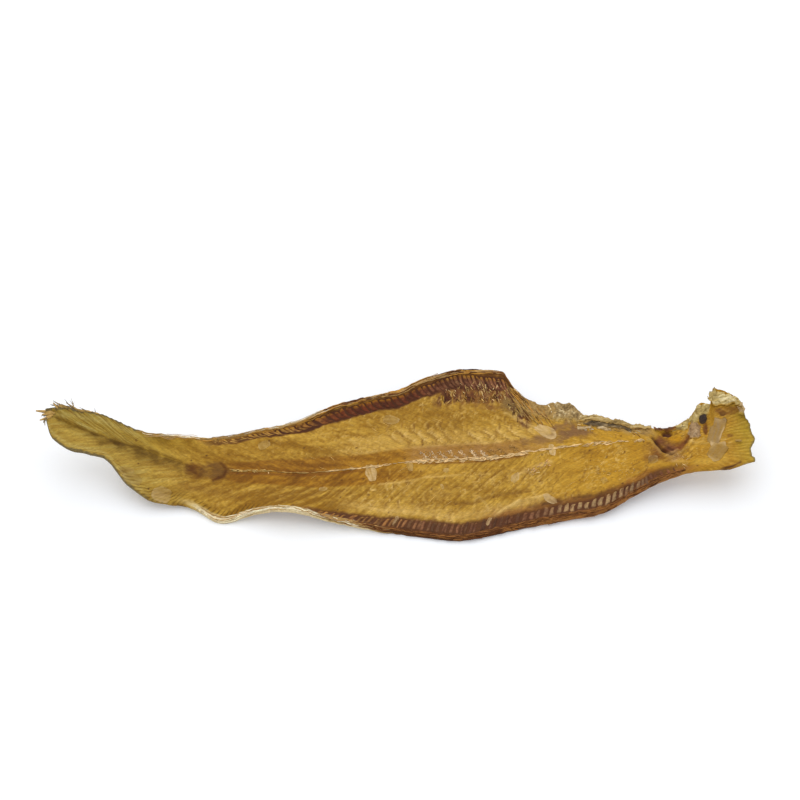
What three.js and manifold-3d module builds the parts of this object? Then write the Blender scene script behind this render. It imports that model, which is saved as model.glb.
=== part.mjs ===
// Dried sole fillet: one thin sheet of dried fish, bowed along its length, with its shown side up.
// Millimetres, +Z up. The tail is at -X and the flared head end at +X. It lies on the flat of its underside
// at z = 0, and the origin is at the bottom centre of its box.
import * as THREE from "three";
import { mergeVertices } from "three/addons/utils/BufferGeometryUtils.js";
import Module from "manifold-3d";

// Driving dimensions
const TAIL_X = -115;
const HEAD_X = 115;
const EDGE_THICKNESS = 1.1;
const SECTION_CURVE = 2; // how late the section turns from the midline's height to its edges' heights

// Guide lines along the shown face, each point [x, y, z]
const FRONT_EDGE = [
  [-115, 1, 22], [-113, -4, 19.5], [-105, -7.6, 16.5], [-97, -7.3, 13], [-88, -15, 7.5], [-79, -19, 4],
  [-70, -19.2, 2.5], [-57, -25.2, 1.2], [-46, -24, 5], [-36, -25, 8], [-18, -27, 3.5], [0, -29.4, 1],
  [20, -32, 1], [37, -28.3, 1.2], [52, -24.5, 2], [66, -22, 3], [78, -16.6, 4.5], [87, -12.4, 7],
  [98, -10.6, 10], [110, -10.9, 12.5], [115, -6.8, 13.3],
];
const MIDLINE = [
  [-115, 2.3, 23.5], [-106, 0.3, 19], [-88, -1.7, 11.5], [-77, -4, 8], [-64, -6.6, 5.5], [-49, -7, 4.6],
  [-32, -7.8, 4.6], [-12, -5.8, 4.6], [8, -3.2, 4.9], [28, -2.4, 5.2], [51, 1.2, 6], [68, 2.8, 7],
  [81, 2.9, 8.5], [94, 0.9, 11], [107, 1.4, 13], [115, 0, 15],
];
const BACK_EDGE = [
  [-115, 3.2, 25], [-110, 4.3, 24.5], [-98, 5.1, 20], [-83, 3.5, 12.5], [-72, 3.8, 10], [-62, 4.5, 8],
  [-43, 10.1, 6.5], [-33, 12.7, 7], [-25, 17.1, 7.5], [-14, 20.7, 8.5], [0, 23.9, 9.5], [11, 28.9, 10.5],
  [22, 32, 11], [36, 31.4, 10.6], [40.5, 24.8, 9], [48, 19.3, 7.5], [58, 18.9, 9], [62.5, 15.2, 8.5],
  [70, 13.2, 8.5], [82, 8.7, 9.5], [91, 6.2, 11.5], [97, 7.5, 15], [101.5, 11.6, 18], [104.2, 10.4, 18],
  [105.6, 16.2, 20], [112, 13.2, 20], [115, 8, 19],
];
// Thickness under the midline, each point [x, mm]
const THICKNESS = [[-115, 1.2], [-88, 2.6], [-62, 5], [-49, 5.6], [51, 5.8], [80, 4.4], [97, 2.4], [115, 1.2]];

// Rows across the sheet: 0 is the midline, -1 the front edge and 1 the back edge
const MIDDLE_ROWS = [0, 0.08, 0.22, 0.38, 0.54, 0.7];
const BAND_ROWS = [0.8, 0.87, 0.94, 1];
// Stations along the sheet, each stretch [first x, step]: one station for each half tooth of the combs
const TOOTH_PITCH = 2.1;
const COMB_START = -50;
const COMB_END = 96;
const STRETCHES = [[TAIL_X, 0.75], [-108, 2.4], [COMB_START, TOOTH_PITCH / 2], [COMB_END, 1.6]];
const MIDDLE_SKIP = 3; // the middle rows keep one station in three

// Combs of dried muscle along both edges: [from x, to x], and the depth of the grooves between the teeth
const FRONT_COMB = [-26, COMB_END];
const BACK_COMB = [COMB_START, 40];
const COMB_FADE = 8;
const COMB_INNER = 0.76;
const COMB_OUTER = 0.97;
const TOOTH_DEPTH = 0.45;
const TOOTH_LEAN = 2.2; // how far a tooth's outer end lies towards the head end

// Ridge of the lateral line, and the furrow to each side of it, from where the tail has thickened
const LINE_FROM = [TAIL_X, TAIL_X + 25];
const LINE_RIDGE = 0.45;
const LINE_WIDTH = 0.05;
const FURROW_DEPTH = 0.35;
const FURROW_AT = 0.24;
const FURROW_WIDTH = 0.1;

// Folds and pits of the shown face: a ridge of this height and width from one [x, y] to another
const FOLDS = [
  { from: [83, 5], to: [92, -4], height: 1.3, width: 1.5 },
  { from: [88, 6], to: [97, -1], height: 1.5, width: 1.5 },
  { from: [90, 4], to: [91, 5], height: -1.6, width: 1.6 },
  { from: [31, -15], to: [42, -20], height: 0.8, width: 1.8 },
  { from: [25, -16], to: [28, -19], height: 0.8, width: 1.6 },
  { from: [99, 8], to: [103, 8], height: 1.5, width: 2 },
  { from: [50, 17], to: [59, 16.5], height: 1.2, width: 1.6 },
];

// Head end: a fan whose rim bulges past HEAD_X and is scalloped between its ribs
const NECK_X = 90;
const FAN_ROOT_X = 100;
const FAN_BULGE = 3;
const FAN_BULGE_AT = -0.25;
const SCALLOP_DEPTH = 1.2;
const SCALLOP_PITCH = 0.32;
const RIB_HEIGHT = 0.35;

// Frayed fin rays at the tail's tip: tapered strands fanned over the tail's rim
const STRAND_RADIUS = 0.5;
const STRAND_ROOT = 3; // length held in the sheet
const STRAND_LENGTHS = [2.2, 3.2, 2.2, 3.1, 2]; // from the back to the front
const STRAND_TURN = 0.9; // radians from the rearmost strand to the front one
const STRAND_RISE = 0.12;
const STRAND_ROWS = [1, -0.5];
const STRAND_SIDES = 5;

const FLESH = new THREE.MeshStandardMaterial({ color: 0xa8842e, roughness: 0.55, metalness: 0 });

function smoothstep(low, high, value) {
  return THREE.MathUtils.smoothstep(value, low, high);
}

function bump(distance, width) {
  return Math.exp(-((distance / width) ** 2));
}

// Slope of a guide at one of its points, flat where the guide turns back, so that it never overshoots.
function slopeAt(guide, i, column) {
  const rise = (a, b) => (guide[b][column] - guide[a][column]) / (guide[b][0] - guide[a][0]);
  if (i === 0) return rise(0, 1);
  if (i === guide.length - 1) return rise(i - 1, i);
  const before = rise(i - 1, i);
  const after = rise(i, i + 1);
  return before * after > 0 ? (2 * before * after) / (before + after) : 0;
}

// One column of a guide at x, by a cubic between the two points round it.
function guideAt(guide, x, column) {
  let i = 0;
  while (i < guide.length - 2 && guide[i + 1][0] < x) i += 1;
  const span = guide[i + 1][0] - guide[i][0];
  const u = THREE.MathUtils.clamp((x - guide[i][0]) / span, 0, 1);
  const value = guide[i][column] * (1 + 2 * u) * (1 - u) ** 2 + guide[i + 1][column] * u * u * (3 - 2 * u);
  const slope = slopeAt(guide, i, column) * u * (1 - u) ** 2 - slopeAt(guide, i + 1, column) * u * u * (1 - u);
  return value + span * slope;
}

// Share of the way across the comb band, 0 outside it and 1 in its middle.
function bandShare(t) {
  const across = THREE.MathUtils.clamp((Math.abs(t) - COMB_INNER) / (COMB_OUTER - COMB_INNER), 0, 1);
  return Math.sin(Math.PI * across);
}

function combRelief(station, t) {
  const [from, to] = t < 0 ? FRONT_COMB : BACK_COMB;
  const along = smoothstep(from, from + COMB_FADE, station) * (1 - smoothstep(to - COMB_FADE, to, station));
  const groove = 0.5 - 0.5 * Math.cos((2 * Math.PI * (station - COMB_START)) / TOOTH_PITCH);
  return -TOOTH_DEPTH * groove * along * bandShare(t);
}

function lineRelief(t) {
  return LINE_RIDGE * bump(t, LINE_WIDTH) - FURROW_DEPTH * bump(Math.abs(t) - FURROW_AT, FURROW_WIDTH);
}

function foldRelief(x, y) {
  const point = new THREE.Vector3(x, y, 0);
  const nearest = new THREE.Vector3();
  let height = 0;
  for (const fold of FOLDS) {
    const crest = new THREE.Line3(new THREE.Vector3(...fold.from, 0), new THREE.Vector3(...fold.to, 0));
    crest.closestPointToPoint(point, true, nearest);
    height += fold.height * bump(point.distanceTo(nearest), fold.width);
  }
  return height;
}

// How far the fan's rim stands past HEAD_X at row t, with a notch between one rib and the next.
function fanReach(t) {
  const bulge = FAN_BULGE * (1 - ((t - FAN_BULGE_AT) / (1 - FAN_BULGE_AT)) ** 2);
  return bulge - SCALLOP_DEPTH * (0.5 - 0.5 * Math.cos((2 * Math.PI * t) / SCALLOP_PITCH));
}

// The point of the shown face (side 1) or the underside (side 0) at a station and a row.
function sheetPoint(station, t, side) {
  const lean = TOOTH_LEAN * smoothstep(COMB_INNER, 1, Math.abs(t));
  const x = station + lean * smoothstep(...LINE_FROM, station) * (1 - smoothstep(NECK_X, FAN_ROOT_X, station));
  const edge = t < 0 ? FRONT_EDGE : BACK_EDGE;
  const across = Math.abs(t);
  const y = THREE.MathUtils.lerp(guideAt(MIDLINE, x, 1), guideAt(edge, x, 1), across);
  const z = THREE.MathUtils.lerp(guideAt(MIDLINE, x, 2), guideAt(edge, x, 2), across ** SECTION_CURVE);
  const fan = smoothstep(FAN_ROOT_X, HEAD_X, station);
  const out = x + fan * fanReach(t);
  if (side === 0) {
    const thickness = THREE.MathUtils.lerp(guideAt(THICKNESS, x, 1), EDGE_THICKNESS, across ** SECTION_CURVE);
    return new THREE.Vector3(out, y, Math.max(0, z - thickness));
  }
  const ribs = RIB_HEIGHT * fan * Math.cos((2 * Math.PI * t) / SCALLOP_PITCH);
  const line = (1 - fan) * smoothstep(...LINE_FROM, station) * lineRelief(t);
  const relief = line + combRelief(station, t) + foldRelief(x, y) + ribs;
  return new THREE.Vector3(out, y, z + relief);
}

function stationList() {
  const stations = [];
  STRETCHES.forEach(([first, step], i) => {
    const last = i + 1 < STRETCHES.length ? STRETCHES[i + 1][0] : HEAD_X;
    const count = Math.round((last - first) / step);
    for (let k = 0; k < count; k += 1) stations.push(first + (k * (last - first)) / count);
  });
  stations.push(HEAD_X);
  return stations;
}

// Every row as { t, stations }, from the front edge to the back edge.
function rowList() {
  const all = stationList();
  const few = all.filter((_, i) => i % MIDDLE_SKIP === 0 || i === all.length - 1);
  const half = [
    ...MIDDLE_ROWS.map((t) => ({ t, stations: few })),
    ...BAND_ROWS.map((t) => ({ t, stations: all })),
  ];
  const mirrored = half.slice(1).map((row) => ({ ...row, t: -row.t }));
  return [...mirrored.reverse(), ...half];
}

// Triangles between two rows of points that start and end side by side, whatever their counts.
function zipRows(a, b) {
  const triangles = [];
  let i = 0;
  let j = 0;
  while (i < a.length - 1 || j < b.length - 1) {
    const stepA = j === b.length - 1 || (i < a.length - 1 && a[i + 1].along <= b[j + 1].along);
    triangles.push(stepA ? [a[i], a[i + 1], b[j]] : [a[i], b[j + 1], b[j]]);
    if (stepA) i += 1;
    else j += 1;
  }
  return triangles;
}

function flip(triangles) {
  return triangles.map(([a, b, c]) => [a, c, b]);
}

// The whole sheet as one closed geometry: shown face, underside, the walls of both edges and both ends.
function sheetGeometry() {
  const face = (side) =>
    rowList().map((row) =>
      row.stations.map((station) => ({ along: station, at: sheetPoint(station, row.t, side) })),
    );
  const top = face(1);
  const under = face(0);
  const last = top.length - 1;
  const end = (rows, pick) => rows.map((row, i) => ({ ...row.at(pick), along: i }));
  const triangles = [];
  for (let r = 0; r < last; r += 1) {
    triangles.push(...zipRows(top[r], top[r + 1]));
    triangles.push(...flip(zipRows(under[r], under[r + 1])));
  }
  triangles.push(...zipRows(under[0], top[0]));
  triangles.push(...zipRows(top[last], under[last]));
  triangles.push(...zipRows(end(top, 0), end(under, 0)));
  triangles.push(...zipRows(end(under, -1), end(top, -1)));
  return new THREE.BufferGeometry().setFromPoints(triangles.flat().map((corner) => corner.at));
}

// One frayed strand: a tapered spike from inside the tail's rim outwards.
function strandGeometry(i) {
  const share = i / (STRAND_LENGTHS.length - 1);
  const length = STRAND_LENGTHS[i] + STRAND_ROOT;
  const root = sheetPoint(TAIL_X + STRAND_ROOT, THREE.MathUtils.lerp(...STRAND_ROWS, share), 1);
  const turn = (0.5 - share) * STRAND_TURN;
  const out = new THREE.Vector3(-Math.cos(turn), Math.sin(turn), STRAND_RISE).normalize();
  const spike = new THREE.ConeGeometry(STRAND_RADIUS, length, STRAND_SIDES);
  spike.translate(0, length / 2, 0);
  spike.applyQuaternion(new THREE.Quaternion().setFromUnitVectors(new THREE.Vector3(0, 1, 0), out));
  return spike.translate(root.x, root.y, root.z - EDGE_THICKNESS / 2);
}

function solidOf(wasm, geometry) {
  const bare = new THREE.BufferGeometry();
  bare.setAttribute("position", geometry.getAttribute("position"));
  if (geometry.index) bare.setIndex(geometry.index);
  const merged = mergeVertices(bare, 1e-3);
  const vertProperties = new Float32Array(merged.getAttribute("position").array);
  const triVerts = new Uint32Array(merged.index.array);
  return new wasm.Manifold(new wasm.Mesh({ numProp: 3, vertProperties, triVerts }));
}

function geometryOf(solid) {
  const { vertProperties, triVerts } = solid.getMesh();
  const geometry = new THREE.BufferGeometry();
  geometry.setAttribute("position", new THREE.BufferAttribute(new Float32Array(vertProperties), 3));
  geometry.setIndex(new THREE.BufferAttribute(new Uint32Array(triVerts), 1));
  return geometry;
}

async function filletMesh() {
  const wasm = await Module();
  wasm.setup();
  let solid = solidOf(wasm, sheetGeometry());
  STRAND_LENGTHS.forEach((_, i) => {
    solid = solid.add(solidOf(wasm, strandGeometry(i)));
  });
  const geometry = geometryOf(solid);
  geometry.computeBoundingBox();
  const middle = geometry.boundingBox.getCenter(new THREE.Vector3());
  geometry.translate(-middle.x, -middle.y, -geometry.boundingBox.min.z);
  geometry.computeVertexNormals();
  const mesh = new THREE.Mesh(geometry, FLESH);
  mesh.name = "fillet";
  return mesh;
}

const part = new THREE.Group();
part.add(await filletMesh());

export default part;
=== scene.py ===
"""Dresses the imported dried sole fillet: its flesh, combs, lateral line, loose scales, fibres and fin rays.

All lengths are millimetres in the part's frame, and make_piece() turns them into metres. The sheet is worked
out from the solid's guide lines, but its front edge lies up to a millimetre further out towards the neck,
where the photograph shows it. x runs from tail to head, and t across, from -1 at the front edge through 0 at
the lateral line to 1 at the back edge.
"""
from types import SimpleNamespace

import bpy
import numpy as np
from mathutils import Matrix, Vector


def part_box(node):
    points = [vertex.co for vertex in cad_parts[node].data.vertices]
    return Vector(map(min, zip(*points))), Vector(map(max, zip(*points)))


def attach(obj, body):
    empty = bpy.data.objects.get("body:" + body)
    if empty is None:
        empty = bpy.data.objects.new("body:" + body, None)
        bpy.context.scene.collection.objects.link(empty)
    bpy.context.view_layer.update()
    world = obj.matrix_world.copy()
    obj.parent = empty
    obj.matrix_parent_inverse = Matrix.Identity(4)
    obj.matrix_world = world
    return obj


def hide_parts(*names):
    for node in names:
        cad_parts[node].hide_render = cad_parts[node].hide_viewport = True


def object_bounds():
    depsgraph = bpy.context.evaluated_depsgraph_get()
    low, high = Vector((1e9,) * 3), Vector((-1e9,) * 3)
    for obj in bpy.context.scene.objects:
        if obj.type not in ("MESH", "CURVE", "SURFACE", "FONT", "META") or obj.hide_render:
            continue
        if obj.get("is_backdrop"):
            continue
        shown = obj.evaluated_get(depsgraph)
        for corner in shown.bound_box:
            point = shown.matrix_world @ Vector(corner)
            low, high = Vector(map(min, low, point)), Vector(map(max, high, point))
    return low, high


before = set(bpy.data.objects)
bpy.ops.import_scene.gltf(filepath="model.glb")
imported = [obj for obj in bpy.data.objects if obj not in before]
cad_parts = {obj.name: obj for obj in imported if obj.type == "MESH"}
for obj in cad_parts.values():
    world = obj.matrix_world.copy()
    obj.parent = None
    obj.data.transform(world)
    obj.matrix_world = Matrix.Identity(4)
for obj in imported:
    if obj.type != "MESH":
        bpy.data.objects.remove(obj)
CAD_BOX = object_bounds()
LOW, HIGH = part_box("fillet")

# Driving dimensions, and the metres in one of this script's millimetres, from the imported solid's length
SOLID_LENGTH = 235.88
MM = (HIGH[0] - LOW[0]) / SOLID_LENGTH
TAIL_X = -115.0
HEAD_X = 115.0
TAIL_FADE = (-70, -96)  # where the body passes into the tail
SECTION_CURVE = 2.0

# Guide lines along the shown face, each point (x, y, z)
FRONT_EDGE = [
    (-115, 1, 22), (-113, -4, 19.5), (-105, -7.6, 16.5), (-97, -7.3, 13), (-88, -15, 7.5), (-79, -19, 4),
    (-70, -19.2, 2.5), (-57, -25.2, 1.2), (-46, -24, 5), (-36, -25, 8), (-18, -27, 3.5), (0, -29.4, 1),
    (20, -32, 1), (37, -28.3, 1.2), (52, -25, 1.6), (66, -22.6, 2.4), (78, -16.6, 4.5), (87, -12.6, 6.8),
    (98, -10.6, 10), (107.5, -11, 11.6), (112.5, -9.6, 13), (115, -9, 13.3),
]
MIDLINE = [
    (-115, 2.3, 23.5), (-106, 0.3, 19), (-88, -1.7, 11.5), (-77, -4, 8), (-64, -6.6, 5.5), (-49, -7, 4.6),
    (-32, -7.8, 4.6), (-12, -5.8, 4.6), (8, -3.2, 4.9), (28, -2.4, 5.2), (51, 1.2, 6), (68, 2.8, 7),
    (81, 2.9, 8.5), (94, 0.9, 11), (107, 1.4, 13), (115, 0, 15),
]
BACK_EDGE = [
    (-115, 3.2, 25), (-110, 4.3, 24.5), (-98, 5.1, 20), (-83, 3.5, 12.5), (-72, 3.8, 10), (-62, 4.5, 8),
    (-43, 10.1, 6.5), (-33, 12.7, 7), (-25, 17.1, 7.5), (-14, 20.7, 8.5), (0, 23.9, 9.5), (11, 28.9, 10.5),
    (22, 32, 11), (36, 31.4, 10.6), (40.5, 24.8, 9), (48, 19.3, 7.5), (58, 18.9, 9), (62.5, 15.2, 8.5),
    (70, 13.2, 8.5), (82, 8.7, 9.5), (91, 6.2, 11.5), (97, 7.5, 15), (101.5, 11.6, 18), (104.2, 10.4, 18),
    (105.6, 16.2, 20), (112, 13.2, 20), (115, 8, 19),
]
# Thickness under the lateral line and at the edges, each point (x, mm)
THICKNESS = [(-115, 1.2), (-88, 2.6), (-62, 5), (-49, 5.6), (51, 5.8), (80, 4.4), (97, 2.4), (115, 1.2)]
FRONT_THICKNESS = [(-115, 0.8), (-60, 1.1), (-36, 1.7), (-14, 1.4), (4, 1.1), (115, 1)]
BACK_THICKNESS = [(-115, 0.8), (-60, 1), (115, 1.1)]
# Head end: where its fan starts, and how far the fan's rim stands past HEAD_X, each point (t, mm), with its
# corner at the front edge
FAN_ROOT_X = 100.0
FAN_RIM = [
    (-1, 2.5), (-0.9, 2.3), (-0.83, 1.4), (-0.6, 1.3), (-0.42, 1.7), (-0.16, 3), (0, 2.6), (0.2, 2.1),
    (0.5, 1.9),
    (0.75, 0.5), (1, -0.4),
]
FAN_HUB = (84.0, 1.0)  # plan place that the fan's fine rays spread from
FAN_RAYS = 150.0  # phase of the rays for each radian

# The grid: stations along the sheet, rows across it, how they crowd to the ends, and how many steps of the
# shown face the underside takes at once
STATIONS = 640
ROWS = 140
STATION_CROWD = 0.1
ROW_CROWD = 0.15
UNDER_SKIP = 4

# Fibres of the muscle: how far they leave the lateral line for each millimetre, back and front, and a shift
# between the flanks
FIBRE_SLOPES = (0.55, 0.95)
FLANK_SHIFT = 40.0
# Where the front flank's fibres turn flatter, over what length, and by how much of their slope
FLAT_X = 50
FLAT_RUN = 8
FLAT_TURN = 0.55
# Pitch of the muscle's strokes on the flanks and beside the lateral line
STROKE_PITCH = 2.5
CORE_STROKE_PITCH = 2.8
# Pockets that the scales left, in rows along the flanks: their pitch, the rows' width, the first row's reach
# as (x, mm), the slope of the leaves of muscle in them, and the width of the imprints' rows
POCKET_PITCH = 4.4
POCKET_ROW = 7.2
POCKET_FIRST = [(-30, 11), (1, 9.2), (25, 7.6), (41, 6.2), (70, 5)]
LEAF_SLOPE = 1.05
IMPRINT_ROW = 3.3

# Darker band along the lateral line: (x, reach to the back, reach to the front, strength)
CORE_BAND = [
    (-60, 2, 2, 0), (-52, 3.8, 4.6, 1), (-32, 6, 5.6, 1), (-16, 6.2, 6.6, 1), (1, 6.6, 7.2, 0.9),
    (10, 6.8, 6.4, 0.8), (24, 6.8, 5.8, 0.8), (36, 6.3, 5, 0.7), (60, 3.5, 3, 0.3), (84, 2, 2, 0),
]

# Colours, as seen in soft white light (0 to 255)
FLESH_GOLD = (196, 155, 60)
FLESH_DEEP = (136, 95, 20)
FLESH_AMBER = (192, 138, 24)
FLESH_DARK = (116, 78, 24)
FLESH_PALE = (212, 176, 104)
TAIL_GREEN = (164, 138, 60)
TAIL_GOLD = (154, 128, 42)
TAIL_GREY = (110, 96, 62)
RAY_PALE = (200, 184, 118)
STRIPE_DARK = (82, 56, 8)
OVAL_BROWN = (84, 46, 8)
OVAL_GREY = (110, 75, 30)
CORE_TINT = (0.86, 0.77, 0.49)  # share of each colour that the darker band lets through
CORE_RED = (110, 64, 22)
CORE_PALE = (182, 134, 72)
CORE_GREY = (156, 114, 66)
BAND_BACK = (66, 32, 18)
BAND_FRONT = (86, 50, 30)
SPREAD_BROWN = (112, 68, 34)
SPREAD_DARK = (74, 36, 18)
OLIVE_GREY = (128, 106, 60)
RIM_TAN = (182, 146, 92)
RIM_CREAM = (246, 234, 202)
RIM_BROWN = (88, 50, 20)
RIM_ORANGE = (148, 98, 48)
RIM_GOLD = (188, 138, 60)
MEMBRANE_TAN = (166, 136, 92)
NECK_BROWN = (102, 58, 26)
NECK_DARK = (66, 36, 18)
NECK_RED = (112, 58, 30)
NECK_FOLD = (120, 73, 42)
# painted shade in the neck's hole
HOLE_SHADE = (90, 52, 38)
MOUND_PALE = (198, 160, 98)
FAN_YELLOW = (172, 126, 34)
FAN_GREEN = (168, 140, 40)
SCALE_PALE = (224, 192, 140)
SCALE_GREY = (166, 136, 92)
GREY_FLESH = (130, 94, 56)
LINE_PALE = (240, 204, 146)
FLAKE_WHITE = (240, 216, 182)
LINE_TAN = (200, 160, 92)
EYE_DARK = (58, 46, 40)
EYE_GREY = (92, 76, 58)
STRAND_GOLD = (176, 142, 80)
STRAND_GREY = (136, 124, 104)
CRUMB_WHITE = (236, 220, 190)
CRUMB_PINK = (222, 176, 128)

# Combs along the edges. Each has its band as (x, outer, inner) distances from the edge, the colours of its
# teeth as (x, red, green, blue), and (x, value) of its strength and its teeth's pitch, lean and unevenness.
# fill is the share of the pitch that a tooth takes up, taper how much narrower its inner end is, sweep how
# far headwards that end lies, tips how golden its outer end is, last the x of the last tooth, and groove the
# colour between the teeth
BACK_COMB = SimpleNamespace(
    back=True, sweep=1.6, fill=1, taper=0.1, tips=0.55, groove=BAND_BACK, last=40,
    uneven=[(-60, 0.15), (4, 0.1), (40, 0.15)],
    tones=[
        (-58, 180, 138, 68), (-36, 152, 108, 48), (-20, 94, 42, 18), (4, 90, 42, 22), (14, 114, 72, 48),
        (40, 122, 80, 54),
    ],
    band=[
        (-66, 0.5, 1.8), (-52, 0.9, 2.8), (-39, 0.9, 3.6), (-21, 1.6, 6), (-6, 1.5, 5.6), (10, 1.9, 6.3),
        (18, 1.5, 6.6), (36, 1.9, 7), (42, 1, 3),
    ],
    strength=[(-68, 0), (-58, 0.7), (-32, 1), (34, 1), (41, 0)],
    pitch=[
        (-115, 1.4), (-84, 1.4), (-60, 1.4), (-42, 1.6), (-26, 2.2), (-4, 2.3), (12, 1.6), (42, 1.4),
        (115, 1.4),
    ],
    lean=[(-115, 2.6), (-84, 2.6), (-60, 1.4), (-40, 0.8), (0, 0.35), (42, 0.2), (115, 0.2)],
)
FRONT_COMB = SimpleNamespace(
    back=False, sweep=0.3, fill=0.92, taper=0.2, tips=0.1, groove=BAND_FRONT, last=93,
    uneven=[(-40, 0.3), (30, 0.28), (42, 0.08), (76, 0.1), (86, 0.25), (97, 0.25)],
    tones=[
        (-40, 172, 124, 58), (-12, 162, 112, 58), (6, 130, 88, 58), (24, 112, 72, 50), (36, 92, 58, 40),
        (46, 122, 84, 58), (56, 150, 121, 83), (73, 154, 125, 88), (81, 120, 90, 64), (86, 100, 62, 42),
        (97, 138, 82, 44),
    ],
    band=[
        (-40, 0.6, 1.5), (-28, 1, 3), (-5, 1.3, 4.7), (10, 1.7, 5.7), (25, 1.6, 5.6), (38, 1.8, 5),
        (50, 2.1, 5.2), (66, 2, 5.2), (72, 1.5, 4.8), (78, 0.6, 4.2), (86, 0.4, 4), (92, 0.5, 3.6),
        (96, 0.6, 2.2), (98, 0.5, 1),
    ],
    strength=[(-38, 0), (-18, 1), (80, 1), (88, 0.75), (98, 0)],
    pitch=[
        (-115, 1.9), (-80, 1.7), (-60, 1.6), (-24, 1.9), (0, 1.6), (28, 1.6), (44, 2.3), (71, 2.3),
        (76, 1.9), (115, 1.8),
    ],
    lean=[
        (-115, 2), (-80, 1.8), (-68, 1.2), (-58, 0.8), (-20, 0.8), (10, 0.3), (60, 0.12), (78, 0.1),
        (88, -0.45), (115, -0.45),
    ],
)
# Teeth: range of their height, how deep they sit, their thickness, points along and across one, and the
# weakest stretch of a comb that has any
TOOTH_HEIGHT = (0.22, 0.36)
TOOTH_SINK = 0.12
TOOTH_THICKNESS = 0.5
TOOTH_GRID = (12, 9)
TOOTH_WEAKEST = 0.25
# Steps in which the teeth are placed along a comb and counted along an edge, and how far past the edge's ends
TOOTH_STEPS = 4000
PHASE_STEPS = 2400
PHASE_MARGIN = 10

# Patches: (x, y, half length, half width, turn in degrees, raggedness, height, colour, strength)
PATCHES = [
    (-66.8, -7, 3.6, 3, -10, 0.4, -0.1, OVAL_BROWN, 0.8),
    (-61, -7, 4.6, 3.4, 0, 0.3, -0.1, OVAL_GREY, 0.85),
    (-57, -6.6, 2.4, 1.5, 0, 0.3, 0, OVAL_GREY, 0.7),
    (90.6, -1.4, 6.4, 4.4, -16, 0.4, 0, NECK_BROWN, 0.5),
    (92.6, 1.6, 2.6, 1.8, -10, 0.4, 0.3, FLESH_AMBER, 0.8),
    (29, 23.6, 13, 4.8, -6, 0.6, 0, SPREAD_BROWN, 0.7),
    (39.4, 18.6, 4.8, 3.4, -40, 0.5, 0, OLIVE_GREY, 0.6),
    (58.5, 9, 6.5, 2.8, -14, 0.6, 0, GREY_FLESH, 0.9),
    (50, 5.8, 8, 2.4, 8, 0.6, 0, GREY_FLESH, 0.75),
    (84.6, -1.6, 3.4, 4.4, 0, 0.4, 0, NECK_BROWN, 0.4),
    # Painted shade in the neck's hole
    (90.2, 4.3, 1.8, 1.1, -20, 0.2, -1.2, HOLE_SHADE, 0.9),
    (92.6, -6, 3.6, 1.9, -26, 0.5, 0.6, MOUND_PALE, 0.8),
    (104, -7.4, 7, 2, 4, 0.5, 0, FLESH_GOLD, 0.6),
    # Painted shade in the hollow between the blob and the long scale
    (102.7, 4.6, 0.9, 2, 0, 0.3, -0.5, NECK_BROWN, 0.7),
    (110.3, 1.2, 1.1, 0.8, 0, 0.3, 0, NECK_BROWN, 0.6),
    (108.6, 9.2, 1.1, 0.8, 0, 0.2, 0, NECK_DARK, 0.8),
    # Painted shadow under the head's flap
    (110, 9.8, 4, 1.2, -8, 0.3, 0, NECK_BROWN, 0.6),
    (16, -16, 9, 3, 18, 0.6, 0, FLESH_DARK, 0.25),
]

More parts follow.
